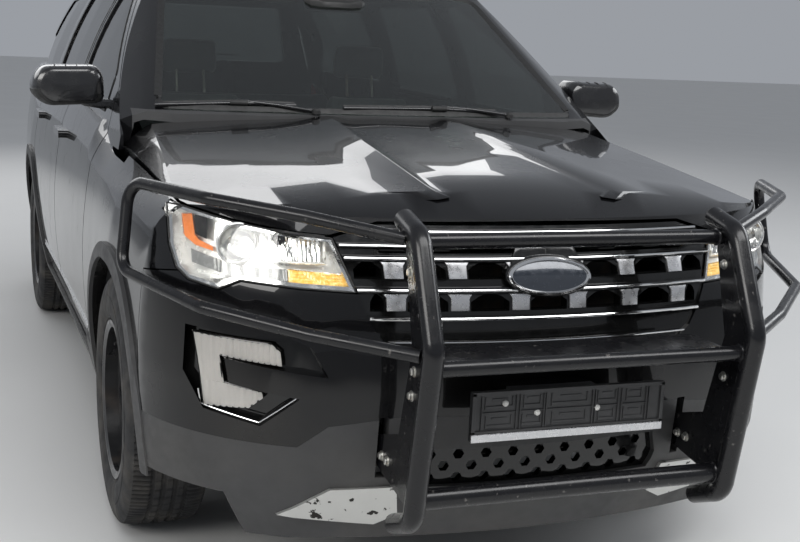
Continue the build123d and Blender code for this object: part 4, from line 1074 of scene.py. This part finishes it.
def make_wiper_fittings():
    """Pivot caps, the blades' clips and the rubber lips that touch the glass."""
    caps, lips = forms(2)
    screen = Surface("windshield")
    clip = ((-13, -9), (9, -9), (12, -4), (12, 5), (8, 9), (-13, 9))
    for pivot, (x, z), (near, far) in WIPERS:
        caps.lathe(((-8, 15), (4, 15), (9, 12), (11, 6), (11.5, 0.5)), (*pivot, 1222), "z", 24)
        line = screen.on_front(((x - 28, z), (x + 28, z)), 27, 200)
        caps.section(line, clip, OUT_OF_SCREEN)
        blade = screen.on_front((near, (x, z), far), 0.5, 25)
        lips.section(blade, ((0, -1), (9, -3), (14, -4), (14, 4), (9, 3), (0, 1)), OUT_OF_SCREEN)
    caps.piece("wiper_caps", "rubber", bevel=1.0)
    lips.piece("wiper_lips", "rubber")


for name, side in NAMED_SIDES:
    dress_door("front", name, side)
    dress_door("rear", name, side)
    dress_mirror(name, side)
dress_fenders()
make_wiper_fittings()


# Seats


SEAT_X = 390
FLOOR_Z = 397
CUSHION_SEAMS = (
    ((-158, -262), (-150, 230)), ((158, -262), (150, 230)),
    ((-156, -130), (156, -130)), ((-156, 20), (156, 20)),
)
BACK_SEAMS = (
    ((-150, -250), (-142, 262)), ((150, -250), (142, 262)),
    ((-146, -90), (146, -90)), ((-146, 90), (146, 90)),
)
BENCH_SEAMS = (((-176, -240), (-176, 236)), ((176, -240), (176, 236)), ((-500, -90), (500, -90)))
# Each pad's size (width, length, thickness, raised sides, taper), seams, voxels and limit of swelling.
PADS = {
    "cushion": ((470, 570, 112, 22, 0.0), CUSHION_SEAMS, 17, 22),
    "back": ((455, 560, 108, 24, 0.10), BACK_SEAMS, 17, 22),
    "rest": ((236, 148, 74, 3, 0.05), (), 13, 6),
    "bench": ((1030, 540, 120, 8, 0.0), BENCH_SEAMS, 17, 22),
    "bench_back": ((1030, 530, 104, 8, 0.03), BENCH_SEAMS, 17, 22),
}
PAD_ROWS = 22
GROOVE_DEPTH, GROOVE_HALF = 9, 13
PRESSURE = 4.0
CLOTH_FRAMES = 20


def superellipse(half_w, half_t, count, power):
    """Points round a soft rectangle."""
    ring = []
    for t in turns(count):
        c, d = math.cos(t), math.sin(t)
        ring.append((half_w * math.copysign(abs(c) ** power, c), half_t * math.copysign(abs(d) ** power, d)))
    return ring


def pad_form(width, length, thick, bolster, taper):
    """A cushion lying flat: u across, v along and w up, with raised sides and soft ends."""
    rings = []
    for i in range(PAD_ROWS + 1):
        v = -math.cos(math.pi * i / PAD_ROWS)
        end = max(0.02, 1 - abs(v) ** 6) ** 0.5
        half_w = width / 2 * (0.90 + 0.10 * end) * (1 - taper * max(0.0, v))
        ring = []
        for u, w in superellipse(half_w, thick / 2 * end, 36, 0.42):
            sunk = bolster * end if w >= 0 else 0
            edge = max(0.0, min(1.0, (abs(u) / half_w - 0.55) / 0.22)) if w > 0 else 0
            ring.append((u, length / 2 * v, w - sunk + sunk * edge))
        rings.append(ring)
    return Form().rings(rings)


def bake(thing):
    """Replaces a mesh by what its modifiers make of it."""
    depsgraph = bpy.context.evaluated_depsgraph_get()
    made = bpy.data.meshes.new_from_object(thing.evaluated_get(depsgraph))
    thing.modifiers.clear()
    thing.data = made


def swell(name, form, voxel, limit):
    """The mesh of a closed form inflated by a cloth run, with no point moved further than a limit."""
    mesh = make_mesh(name, [Vector(p) * MM for p in form.points], form.faces)
    turn_outwards(mesh)
    thing = bpy.data.objects.new(name, mesh)
    bpy.context.scene.collection.objects.link(thing)
    remesh = thing.modifiers.new("voxels", "REMESH")
    remesh.mode = "VOXEL"
    remesh.voxel_size = voxel * MM
    bake(thing)
    rest = [v.co.copy() for v in thing.data.vertices]
    cloth = thing.modifiers.new("cloth", "CLOTH")
    cloth.settings.use_pressure = True
    cloth.settings.uniform_pressure_force = PRESSURE
    cloth.settings.effector_weights.gravity = 0
    cloth.settings.tension_stiffness = 20
    for number in range(1, CLOTH_FRAMES + 1):
        bpy.context.scene.frame_set(number)
    bake(thing)
    bpy.context.scene.frame_set(1)
    for vertex, start in zip(thing.data.vertices, rest):
        move = vertex.co - start
        if move.length > limit * MM:
            vertex.co = start + move.normalized() * limit * MM
    mesh = thing.data
    bpy.data.objects.remove(thing)
    return mesh


def groove(mesh, seams):
    """Presses sewn channels into the upper side along the seams, lines of (u, v)."""
    for vertex in mesh.vertices:
        if vertex.normal.z < 0.2:
            continue
        near = math.inf
        for start, end in seams:
            a, b = Vector(start) * MM, Vector(end) * MM
            p = vertex.co.xy
            t = max(0.0, min(1.0, (p - a).dot(b - a) / (b - a).length_squared))
            near = min(near, (p - a - t * (b - a)).length / MM)
        vertex.co.z -= GROOVE_DEPTH * MM * math.exp(-((near / GROOVE_HALF) ** 2))


def welt(mesh, seams):
    """Piping along the seams, laid on the upper side of the cushion."""
    mesh.update()
    tree = BVHTree.FromPolygons([v.co for v in mesh.vertices], [tuple(p.vertices) for p in mesh.polygons])
    piping = Form()
    for seam in seams:
        spots = (Vector((p.x * MM, p.y * MM, 1)) for p in spread(seam, 16))
        hits = [tree.ray_cast(spot, Vector((0, 0, -1)))[0] for spot in spots]
        path = [(hit.x / MM, hit.y / MM, hit.z / MM + 0.8) for hit in hits if hit]
        if len(path) > 2:
            piping.tube(path, 2.6, 8)
    return piping


def lay_pad(name, mesh, piping, at, tilt, node):
    """Sets a finished cushion and its piping in the car: at is x, s, z of its middle and tilt its lean."""
    turn = Matrix.Translation(place(*at)) @ Matrix.Rotation(math.radians(tilt), 4, "X")
    laid = mesh.copy()
    laid.transform(turn)
    pad = settle(name, laid, "seat_cloth", slot="seat_cloth")
    pad.modifiers.clear()
    pad.modifiers.new("finer", "SUBSURF").render_levels = 1
    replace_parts(pad, node)
    if piping.points:
        cord = make_mesh(f"{name}_piping", [turn @ (Vector(p) * MM) for p in piping.points], piping.faces)
        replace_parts(settle(f"{name}_piping", cord, "rubber"), node)


def make_seats():
    """Two front seats with head restraints and the bench, as cloth pads with piping."""
    ready = {}
    for key, (size, seams, voxel, limit) in PADS.items():
        mesh = swell(key, pad_form(*size), voxel, limit)
        groove(mesh, seams)
        ready[key] = mesh, welt(mesh, seams)
    for name, side in NAMED_SIDES:
        x = side * SEAT_X
        lay_pad(f"{name}_seat_cushion", *ready["cushion"], (x, 1462, 588), 4, "front_seats")
        lay_pad(f"{name}_seat_back", *ready["back"], (x, 1740, 940), 102, "front_seats")
        lay_pad(f"{name}_head_restraint", *ready["rest"], (x, 1838, 1346), 100, "front_seats")
    lay_pad("bench_cushion", *ready["bench"], (0, 2330, 572), 3, "rear_bench")
    lay_pad("bench_back", *ready["bench_back"], (0, 2585, 915), 102, "rear_bench")


BASE_LEVELS = ((0.86, 430), (0.9, 470), (1.0, 515), (1.0, 534))
RAIL = ((-16, 0), (16, 0), (16, 14), (9, 18), (9, 36), (-9, 36), (-9, 18), (-16, 14))
SIDE_COVER = ((1600, 520), (1730, 520), (1790, 640), (1770, 700), (1700, 700), (1610, 600))


def make_seat_frames():
    """Plastic bases with rails and side covers, and the posts of the head restraints."""
    base, metal, bench = forms(3)
    for side in SIDES:
        x = side * SEAT_X
        base.stack(corners(-215, 215, -235, 250), BASE_LEVELS, (x, 1420))
        for dx in (-150, 150):
            metal.section([(x + dx, 1170, 396), (x + dx, 1735, 396)], RAIL, Vector((1, 0, 0)))
            metal.tube([(x + dx * 0.4, 1800, 1190), (x + dx * 0.4, 1826, 1300)], 6.5, 14)
        for dx in (-238, 226):
            base.prism(SIDE_COVER, x + dx, x + dx + 12, "x")
    bench.stack(corners(-505, 505, 2090, 2590), [(1, z) for z in (396, 480, 512, 522)])
    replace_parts(base.crisp("seat_bases", "dash_plastic", 4.0), "front_seats")
    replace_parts(metal.crisp("seat_rails", "exhaust_steel", 4.0), "front_seats")
    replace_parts(bench.crisp("bench_base", "dash_plastic", 4.0), "rear_bench")


make_seats()
make_seat_frames()


# The cabin


SHADE = (
    (700, 1160), (735, 1186), (800, 1200), (885, 1192), (912, 1158),
    (905, 1150), (880, 1178), (800, 1182), (740, 1160),
)
KNOB = ((-2, 22), (4, 21), (6, 17), (20, 15), (22, 12), (22, 0.5))
GLOVE_BOX = ((-640, 792), (-250, 792), (-240, 890), (-650, 890), (-640, 792))


VENTS = (-690, -186, 186, 652)
# Where each dial's middle is, and its radius.
DIALS = ((300, 34), (440, 34), (370, 20))


def dash_face(z):
    """Station of the dashboard's rear face at a height."""
    return 930 - 0.15 * (z - 900)


def frame_bars(form, x0, x1, z0, z1, s, depth, wide):
    """Four bars round an opening that faces the rear."""
    for low, high, foot, top in (
        (x0, x1, z0, z0 + wide), (x0, x1, z1 - wide, z1), (x0, x0 + wide, z0, z1), (x1 - wide, x1, z0, z1),
    ):
        form.box(low, high, s - 2, s + depth, foot, top)


def make_dashboard():
    """Instrument hood and dials, screen, vents, controls and glove box lid."""
    hood, trim, face, rims, keys, joint = forms(6)
    hood.rings([
        [(x, 800 + (s - 800) * k, 1160 + (z - 1160) * k) for s, z in SHADE]
        for x, k in ((206, 0.5), (222, 0.9), (250, 1), (490, 1), (518, 0.9), (534, 0.5))
    ])
    face.prism(((226, 1098), (514, 1098), (506, 1176), (234, 1176)), 858, 884, "y")
    for x, radius in DIALS:
        rim = ((0, radius - 2), (4, radius - 1), (4, radius + 2), (0, radius + 3))
        rims.lathe(rim, (x, 884, 1138), "y", 40)
        trim.section([(x - radius * 0.6, 887, 1132), (x, 887, 1142)], corners(-1, 1, -1.5, 1.5), BACKWARDS)
    face.box(-122, 122, dash_face(1035) - 6, dash_face(1035) + 6, 992, 1080)
    frame_bars(trim, -130, 130, 984, 1088, dash_face(1035), 9, 8)
    for x in VENTS:
        frame_bars(trim, x - 50, x + 50, 1010, 1074, dash_face(1042), 8, 6)
        for z in (1022, 1033, 1044, 1055):
            keys.box(x - 45, x + 45, dash_face(z) - 3, dash_face(z) + 6, z - 1.5, z + 1.5)
    for x in (-84, 84):
        rims.lathe(KNOB, (x, dash_face(930), 930), "y", 32)
    for column in range(6):
        for z in (905, 925, 945):
            keys.box(-50 + column * 17, -37 + column * 17, dash_face(z) - 3, dash_face(z) + 4, z - 6, z + 6)
    joint.tube([(x, 930 - (900 - z) * 0.2, z) for x, z in GLOVE_BOX], 2.2, 8)
    hood.piece("instrument_hood", "dash_plastic")
    trim.crisp("dash_trim", "satin_silver", 1.2)
    face.crisp("dash_screens", "gloss_black", 3.0)
    rims.piece("dash_dials", "satin_silver")
    keys.crisp("dash_keys", "rubber", 1.0)
    joint.piece("glove_box_joint", "rubber")


# Station, half width and height of the console's top, from the dashboard to its rear end.
CONSOLE = (
    (900, 104, 800), (960, 104, 770), (1030, 102, 640), (1120, 100, 596),
    (1330, 100, 590), (1350, 104, 640), (1620, 104, 646), (1660, 98, 600),
)
PEDAL = ((0, -34), (9, -30), (5, -20), (9, -10), (5, 0), (9, 10), (5, 20), (9, 30), (0, 34))


def make_console():
    """The tunnel console with its lever, cup holders and lid, the pedals and the carpet."""
    console, lever, holders, pads, carpet = forms(5)
    rings = []
    for s, w, top in CONSOLE:
        outline = ((-w, FLOOR_Z), (w, FLOOR_Z), (w, top - 22), (w - 16, top), (16 - w, top), (-w, top - 22))
        rings.append([(x, s, z) for x, z in outline])
    console.rings(rings)
    lever.tube([(0, 1120, 590), (0, 1128, 660), (0, 1112, 720)], (9, 8, 8), 16)
    lever.lathe(((-34, 10), (-22, 22), (0, 26), (20, 22), (30, 8), (30.5, 0.5)), (0, 1110, 735), "z", 24)
    lever.lathe(((0, 46), (8, 38), (22, 20), (30, 11)), (0, 1122, 592), "z", 32)
    for s in (1210, 1294):
        holders.lathe(((1, 38), (5, 38), (5, 33), (1, 32), (-40, 30), (-40, 0.5)), (0, s, 592), "z", 36)
    for x, width in ((318, 46), (420, 26)):
        pads.section([(x - width, 668, 520), (x + width, 668, 520)], PEDAL, Vector((0, 0.8, 0.6)))
        pads.tube([(x, 664, 520), (x, 620, 640), (x, 560, 760)], 7, 10)
    for s0, s1 in ((640, 1160), (1770, 2080)):
        lines = steps(s0, s1, 8)
        grid = [[(x, s, FLOOR_Z + rng.uniform(0, 1.5)) for s in lines] for x in steps(-610, 610, 12)]
        carpet.rings(grid, closed=False, caps=False)
    console.crisp("console", "dash_plastic", 5.0)
    lever.piece("gear_lever", "rubber")
    holders.piece("cup_holders", "gloss_black")
    pads.piece("pedals", "rubber", bevel=1.0)
    carpet.crisp("carpet", "carpet")


def make_wheel_hub():
    """The padded middle of the steering wheel and the two stalks behind it."""
    turn = Matrix.Rotation(math.radians(-65), 3, "X")
    middle = Vector((370, 1085, 1010))
    hub, stalks = forms(2)
    outline = superellipse(84, 62, 40, 0.6)
    hub.rings([
        [middle + turn @ Vector((u * scale, v * scale, lift)) for u, v in outline]
        for scale, lift in ((0.8, 22), (1.0, 30), (1.0, 38), (0.86, 47), (0.4, 52), (0.03, 53))
    ])
    for way in (-1, 1):
        points = ((way * 24, 0, -60), (way * 90, 6, -52), (way * 150, 12, -46))
        stalks.tube([middle + turn @ Vector(p) for p in points], (7, 6, 8), 14)
    hub.piece("steering_pad", "dash_plastic")
    stalks.piece("column_stalks", "rubber")


VISOR = ((120, 1190), (500, 1190), (500, 1330), (120, 1350))
INSIDE_MIRROR = ((-122, 1606), (122, 1606), (118, 1566), (96, 1556), (-96, 1556), (-118, 1566))
INSIDE_MIRROR_Z = 1581


def make_roof_lining():
    """The lining under the roof, two visors and the inside mirror on its stalk."""
    roof = Surface("roof_panel", "body_shell")
    lining, visors, mirror, back, stalk = forms(5)

    def under_roof(x, s):
        """A point of the lining, just under the roof."""
        hit = roof.meet((x, s, 1250), Vector((0, 0, 1)))
        return x, s, (hit.z if hit else 1640) - 5

    rows = [[under_roof(x, s) for x in steps(-520, 520, 15)] for s in steps(1180, 3760, 24)]
    lining.rings(rows, closed=False, caps=False)
    level = min(z for _, _, z in rows[0])
    for side in SIDES:
        outline = rounded([(side * x, s) for x, s in VISOR], 30, 4)
        visors.stack(outline, ((1, level - 18), (1, level - 3)))
    outline = rounded(INSIDE_MIRROR, 20, 4)
    mirror.rings([
        [(x * k, s, INSIDE_MIRROR_Z + (z - INSIDE_MIRROR_Z) * k) for x, z in outline]
        for s, k in ((958, 0.5), (968, 0.85), (986, 1.0), (1002, 1.0))
    ])
    pane = [(x * 0.95, INSIDE_MIRROR_Z + (z - INSIDE_MIRROR_Z) * 0.9) for x, z in outline]
    back.prism(pane, 1002, 1004, "y")
    foot = Surface("windshield").front(0, 1618) + 8
    stalk.tube([(0, foot, 1618), (0, foot + 14, 1608), (0, 968, 1585)], (17, 9, 8), 16)
    lining.piece("roof_lining", "lining")
    visors.crisp("sun_visors", "lining", 6.0)
    mirror.piece("inside_mirror", "rubber")
    back.crisp("inside_mirror_glass", "mirror_glass", 0.6)
    stalk.piece("inside_mirror_stalk", "rubber")


make_dashboard()
make_console()
make_wheel_hub()
make_roof_lining()


# The rear


TAIL_END = 4040


def back_plate(form, surface, top, bottom, thick, columns, rows, relief=None):
    """A plate between two lines of (x, z) that follows the tail, with a relief on its face."""

    def spot(x, z, layer):
        lift = relief(x, z) if relief and layer else 0
        return x, surface.back(x, z, TAIL_END) + 0.3 + layer * thick + lift, z

    form.sheet(top, bottom, columns, rows, spot)


def make_tailgate_fittings():
    """Bright bar, bare plate recess, wiper and high brake lamp."""
    gate, window = Surface("tailgate"), Surface("tailgate_glass")
    bar, recess, rim, brake, wiper, cap = forms(6)
    back_plate(bar, gate, ((-600, 1052), (600, 1052)), ((-600, 1018), (600, 1018)), 6, 40, 3)
    back_plate(recess, gate, ((-262, 1000), (262, 1000)), ((-262, 842), (262, 842)), 1.5, 16, 6)
    rim.tube(gate.on_back(loop(corners(-272, 272, 1008, 834), 26, 5), 0, 20), 3, 10)
    back_plate(brake, gate, ((-150, 1664), (150, 1664)), ((-150, 1640), (150, 1640)), 4, 30, 3, ribs(10, 1.2))
    blade = window.on_back(((-30, 1300), (330, 1306)), 12, 30)
    wiper.section(blade, ((-11, -2), (0, -4), (6, 0), (0, 4), (-11, 2)), Vector((0, 0.97, 0.25)))
    pivot = window.back(0, 1286, 3990)
    wiper.tube([(0, pivot + 14, 1286), *window.on_back(((60, 1296), (150, 1303)), 18, 100)], (9, 7, 5), 12)
    cap.lathe(((0, 24), (14, 22), (22, 15), (24, 0.5)), (0, pivot, 1286), "y", 30)
    bar.piece("tailgate_bar", "satin_silver", "tailgate", bevel=1.0)
    recess.piece("rear_plate_recess", "black_plastic", "tailgate")
    rim.piece("rear_plate_rim", "gloss_black", "tailgate")
    brake.piece("high_brake_lamp", "red_lens", "tailgate")
    wiper.piece("rear_wiper", "rubber", "tailgate")
    cap.piece("rear_wiper_cap", "rubber", "tailgate")


def make_rear_lamps():
    """Bars and rims in the tail lamps, bumper reflectors and sensors, and the pipe ends."""
    lamps, bumper = Surface("tail_lamps"), Surface("rear_bumper")
    white, rim, red, sensors, pipes, valance = forms(6)

    def strip(form, surface, side, near, far, high, low, *look):
        """A level plate on one side of the tail."""
        ends = side * near, side * far
        back_plate(form, surface, [(x, high) for x in ends], [(x, low) for x in ends], *look)

    for side in SIDES:
        strip(white, lamps, side, 776, 872, 1052, 1018, 1.2, 12, 3, ribs(8, 0.8))
        for z in (1100, 970):
            rim.tube(lamps.on_back(((side * 774, z), (side * 878, z)), 0.4, 12), 2.2, 8)
        strip(red, bumper, side, 560, 730, 600, 576, 2.5, 16, 2, cells(9, 0.8))
        for x in (230, 640):
            spot = side * x, bumper.back(side * x, 680, 4050), 680
            sensors.lathe(((-2, 13), (1.5, 13), (2.5, 11), (2, 9), (1, 8.5), (1, 0.5)), spot, "y", 24)
        spot = side * 400, bumper.back(side * 400, 330, 4060), 330
        pipes.lathe(((-30, 36), (4, 38), (9, 36), (7, 33), (-24, 32), (-24, 0.5)), spot, "y", 40)
    back_plate(valance, bumper, ((-640, 470), (640, 470)), ((-600, 300), (600, 300)), 2, 40, 6)
    white.piece("reversing_lamps", "white_plastic")
    rim.piece("tail_lamp_bars", "satin_silver")
    red.piece("rear_reflectors", "red_lens")
    sensors.piece("parking_sensors", "gloss_black")
    pipes.piece("pipe_ends", "chrome")
    valance.piece("rear_valance", "black_plastic")


def make_antenna():
    """A fin on the roof."""
    level = Surface("roof_panel").meet((0, 3560, 2200), Vector((0, 0, -1))).z
    fin = Form().rings([
        [(half * math.sin(t), 3552 + 26 * k + reach * math.cos(t), level + 48 * k) for t in turns(24)]
        for k, reach, half in ((-0.1, 74, 30), (0.08, 70, 27), (0.5, 52, 12), (0.85, 34, 6), (1.0, 22, 3))
    ])
    fin.piece("roof_antenna", "shell_black")


make_tailgate_fittings()
make_rear_lamps()
make_antenna()


# Under the hood


ENGINE_TOP = 905
TRAY_TOP = 832
COVER_LEVELS = ((1.0, ENGINE_TOP - 4), (1.0, ENGINE_TOP + 34), (0.94, ENGINE_TOP + 46))
FUSE_BOX_LEVELS = ((0.8, TRAY_TOP), (1.0, 880), (1.0, 950), (0.92, 985))
FAN_S, FAN_Z = -650, 650
FAN_BLADE = ((-2, -18), (2, -18), (8, 18), (4, 18))


def make_engine_dressing():
    """Engine cover, air box and duct, battery, bottles, fuse box and the radiator's fans."""
    cover, duct, black, white, caps, metal = forms(6)
    cover.stack(((-250, -190), (250, -190), (270, 190), (-270, 190)), COVER_LEVELS, (0, -290))
    for x in (-150, -90, -30, 30, 90, 150):
        cover.box(x - 9, x + 9, -440, -150, ENGINE_TOP + 40, ENGINE_TOP + 54)
    caps.lathe(((0, 32), (14, 31), (18, 26), (18, 0.5)), (190, -420, ENGINE_TOP + 44), "z", 28)
    for side in SIDES:
        black.box(side * 490, side * 760, -150, 170, 822, TRAY_TOP)
    black.stack(corners(505, 735, -130, 40), ((1, TRAY_TOP), (1, 985)))
    black.stack(corners(500, 740, -135, 45), ((1, 985), (1, 1002)))
    for x in (545, 695):
        metal.lathe(((0, 12), (16, 11), (18, 8), (18, 0.5)), (x, 20, 1002), "z", 20)
    black.stack(corners(-110, 110, -130, 130), FUSE_BOX_LEVELS, (-620, 10))
    duct.tube([(-520, 0, 930), (-420, -60, 950), (-300, -120, 940), (-200, -160, 930)], 38, 24)
    for t in steps(0, 1, 7):
        x, s, z = -500 + 170 * t, -10 - 70 * t, 933 + 12 * t
        duct.tube([(x, s, z), (x + 6, s - 3, z)], 43, 24)
    white.stack(corners(520, 700, 70, 160), [(1, z) for z in (TRAY_TOP, 900, 940, 955)])
    caps.lathe(((0, 24), (16, 23), (18, 0.5)), (610, 115, 955), "z", 24)
    black.box(-345, 345, -668, -650, 420, 890)
    for x in (-170, 170):
        metal.lathe(((0, 150), (6, 152), (10, 146), (4, 142)), (x, FAN_S, FAN_Z), "y", 48)
        metal.lathe(((0, 40), (18, 38), (20, 0.5)), (x, FAN_S, FAN_Z), "y", 28)
        for t in turns(7):
            c, d = math.cos(t), math.sin(t)
            line = [(x + radius * c, FAN_S + 10, FAN_Z + radius * d) for radius in (36, 140)]
            metal.section(line, FAN_BLADE, BACKWARDS)
    cover.crisp("engine_cover", "dash_plastic", 5.0)
    duct.piece("intake_duct", "rubber")
    black.crisp("battery_and_boxes", "black_plastic", 3.0)
    white.crisp("coolant_bottle", "white_plastic", 8.0)
    caps.piece("filler_caps", "rubber", bevel=1.0)
    metal.piece("fans_and_terminals", "gloss_black")


make_engine_dressing()


# Studio


# Place and target in metres, size, power and colour of each lamp.
LAMPS = {
    "overhead": ((0.3, -4.6, 4.4), (0, -1.2, 0.8), (6.0, 2.0), 230, (1, 1, 1)),
    "key": ((-6.5, -5.0, 4.2), (0, -1.2, 0.8), (3.6, 2.4), 200, (1.0, 0.985, 0.96)),
    "left_fill": ((7.0, -1.5, 4.0), (0, -0.5, 0.8), (6.0, 2.0), 170, (0.96, 0.98, 1.0)),
    "back": ((-1.5, 7.5, 4.5), (0, 1.0, 0.9), (14.0, 3.0), 260, (1, 1, 1)),
}


def area_light(name, position, target, size, power, color):
    """A large soft lamp that looks at a target."""
    light = bpy.data.lights.new(name, "AREA")
    light.shape = "RECTANGLE"
    light.size, light.size_y = size
    light.energy = power
    light.color = color
    thing = bpy.data.objects.new(name, light)
    bpy.context.scene.collection.objects.link(thing)
    thing.location = position
    thing.rotation_euler = (Vector(target) - Vector(position)).to_track_quat("-Z", "Y").to_euler()


def studio():
    """Pale floor, even world light and large soft lamps."""
    bpy.ops.mesh.primitive_plane_add(size=80)
    floor = bpy.context.object
    floor.name = "floor"
    ground = Finish("pale_floor", (0.66, 0.66, 0.65), 0.6).rough(1.5, 4.0, 0.55, 0.7)
    floor.data.materials.append(ground.material)
    world = bpy.data.worlds.new("studio")
    bpy.context.scene.world = world
    world.use_nodes = True
    background = world.node_tree.nodes["Background"]
    background.inputs["Color"].default_value = (0.76, 0.80, 0.87, 1)
    background.inputs["Strength"].default_value = 0.42
    for name, lamp in LAMPS.items():
        area_light(name, *lamp)


CAMERA_AT = (-1447.04, -3626.3, 1500.46)
CAMERA_YAW, CAMERA_PITCH, CAMERA_ROLL = 0.3655, 0.1921, 0.0479
CAMERA_LENS = 55.63


def camera():
    """The photograph's viewpoint, found by fitting the car's known points."""
    yaw, pitch, roll = CAMERA_YAW, CAMERA_PITCH, CAMERA_ROLL
    forward = Vector((math.sin(yaw) * math.cos(pitch), math.cos(yaw) * math.cos(pitch), -math.sin(pitch)))
    level = Vector((math.cos(yaw), -math.sin(yaw), 0))
    upward = level.cross(forward)
    right = level * math.cos(roll) + upward * math.sin(roll)
    up = upward * math.cos(roll) - level * math.sin(roll)
    data = bpy.data.cameras.new("camera")
    data.sensor_width = 36
    data.lens = CAMERA_LENS
    data.clip_end = 200
    thing = bpy.data.objects.new("camera", data)
    bpy.context.scene.collection.objects.link(thing)
    turn = Matrix((right, up, -forward)).transposed().to_4x4()
    thing.matrix_world = Matrix.Translation(place(*CAMERA_AT)) @ turn
    bpy.context.scene.camera = thing


studio()
camera()
bpy.context.scene.view_settings.view_transform = "Standard"

bpy.context.view_layer.update()
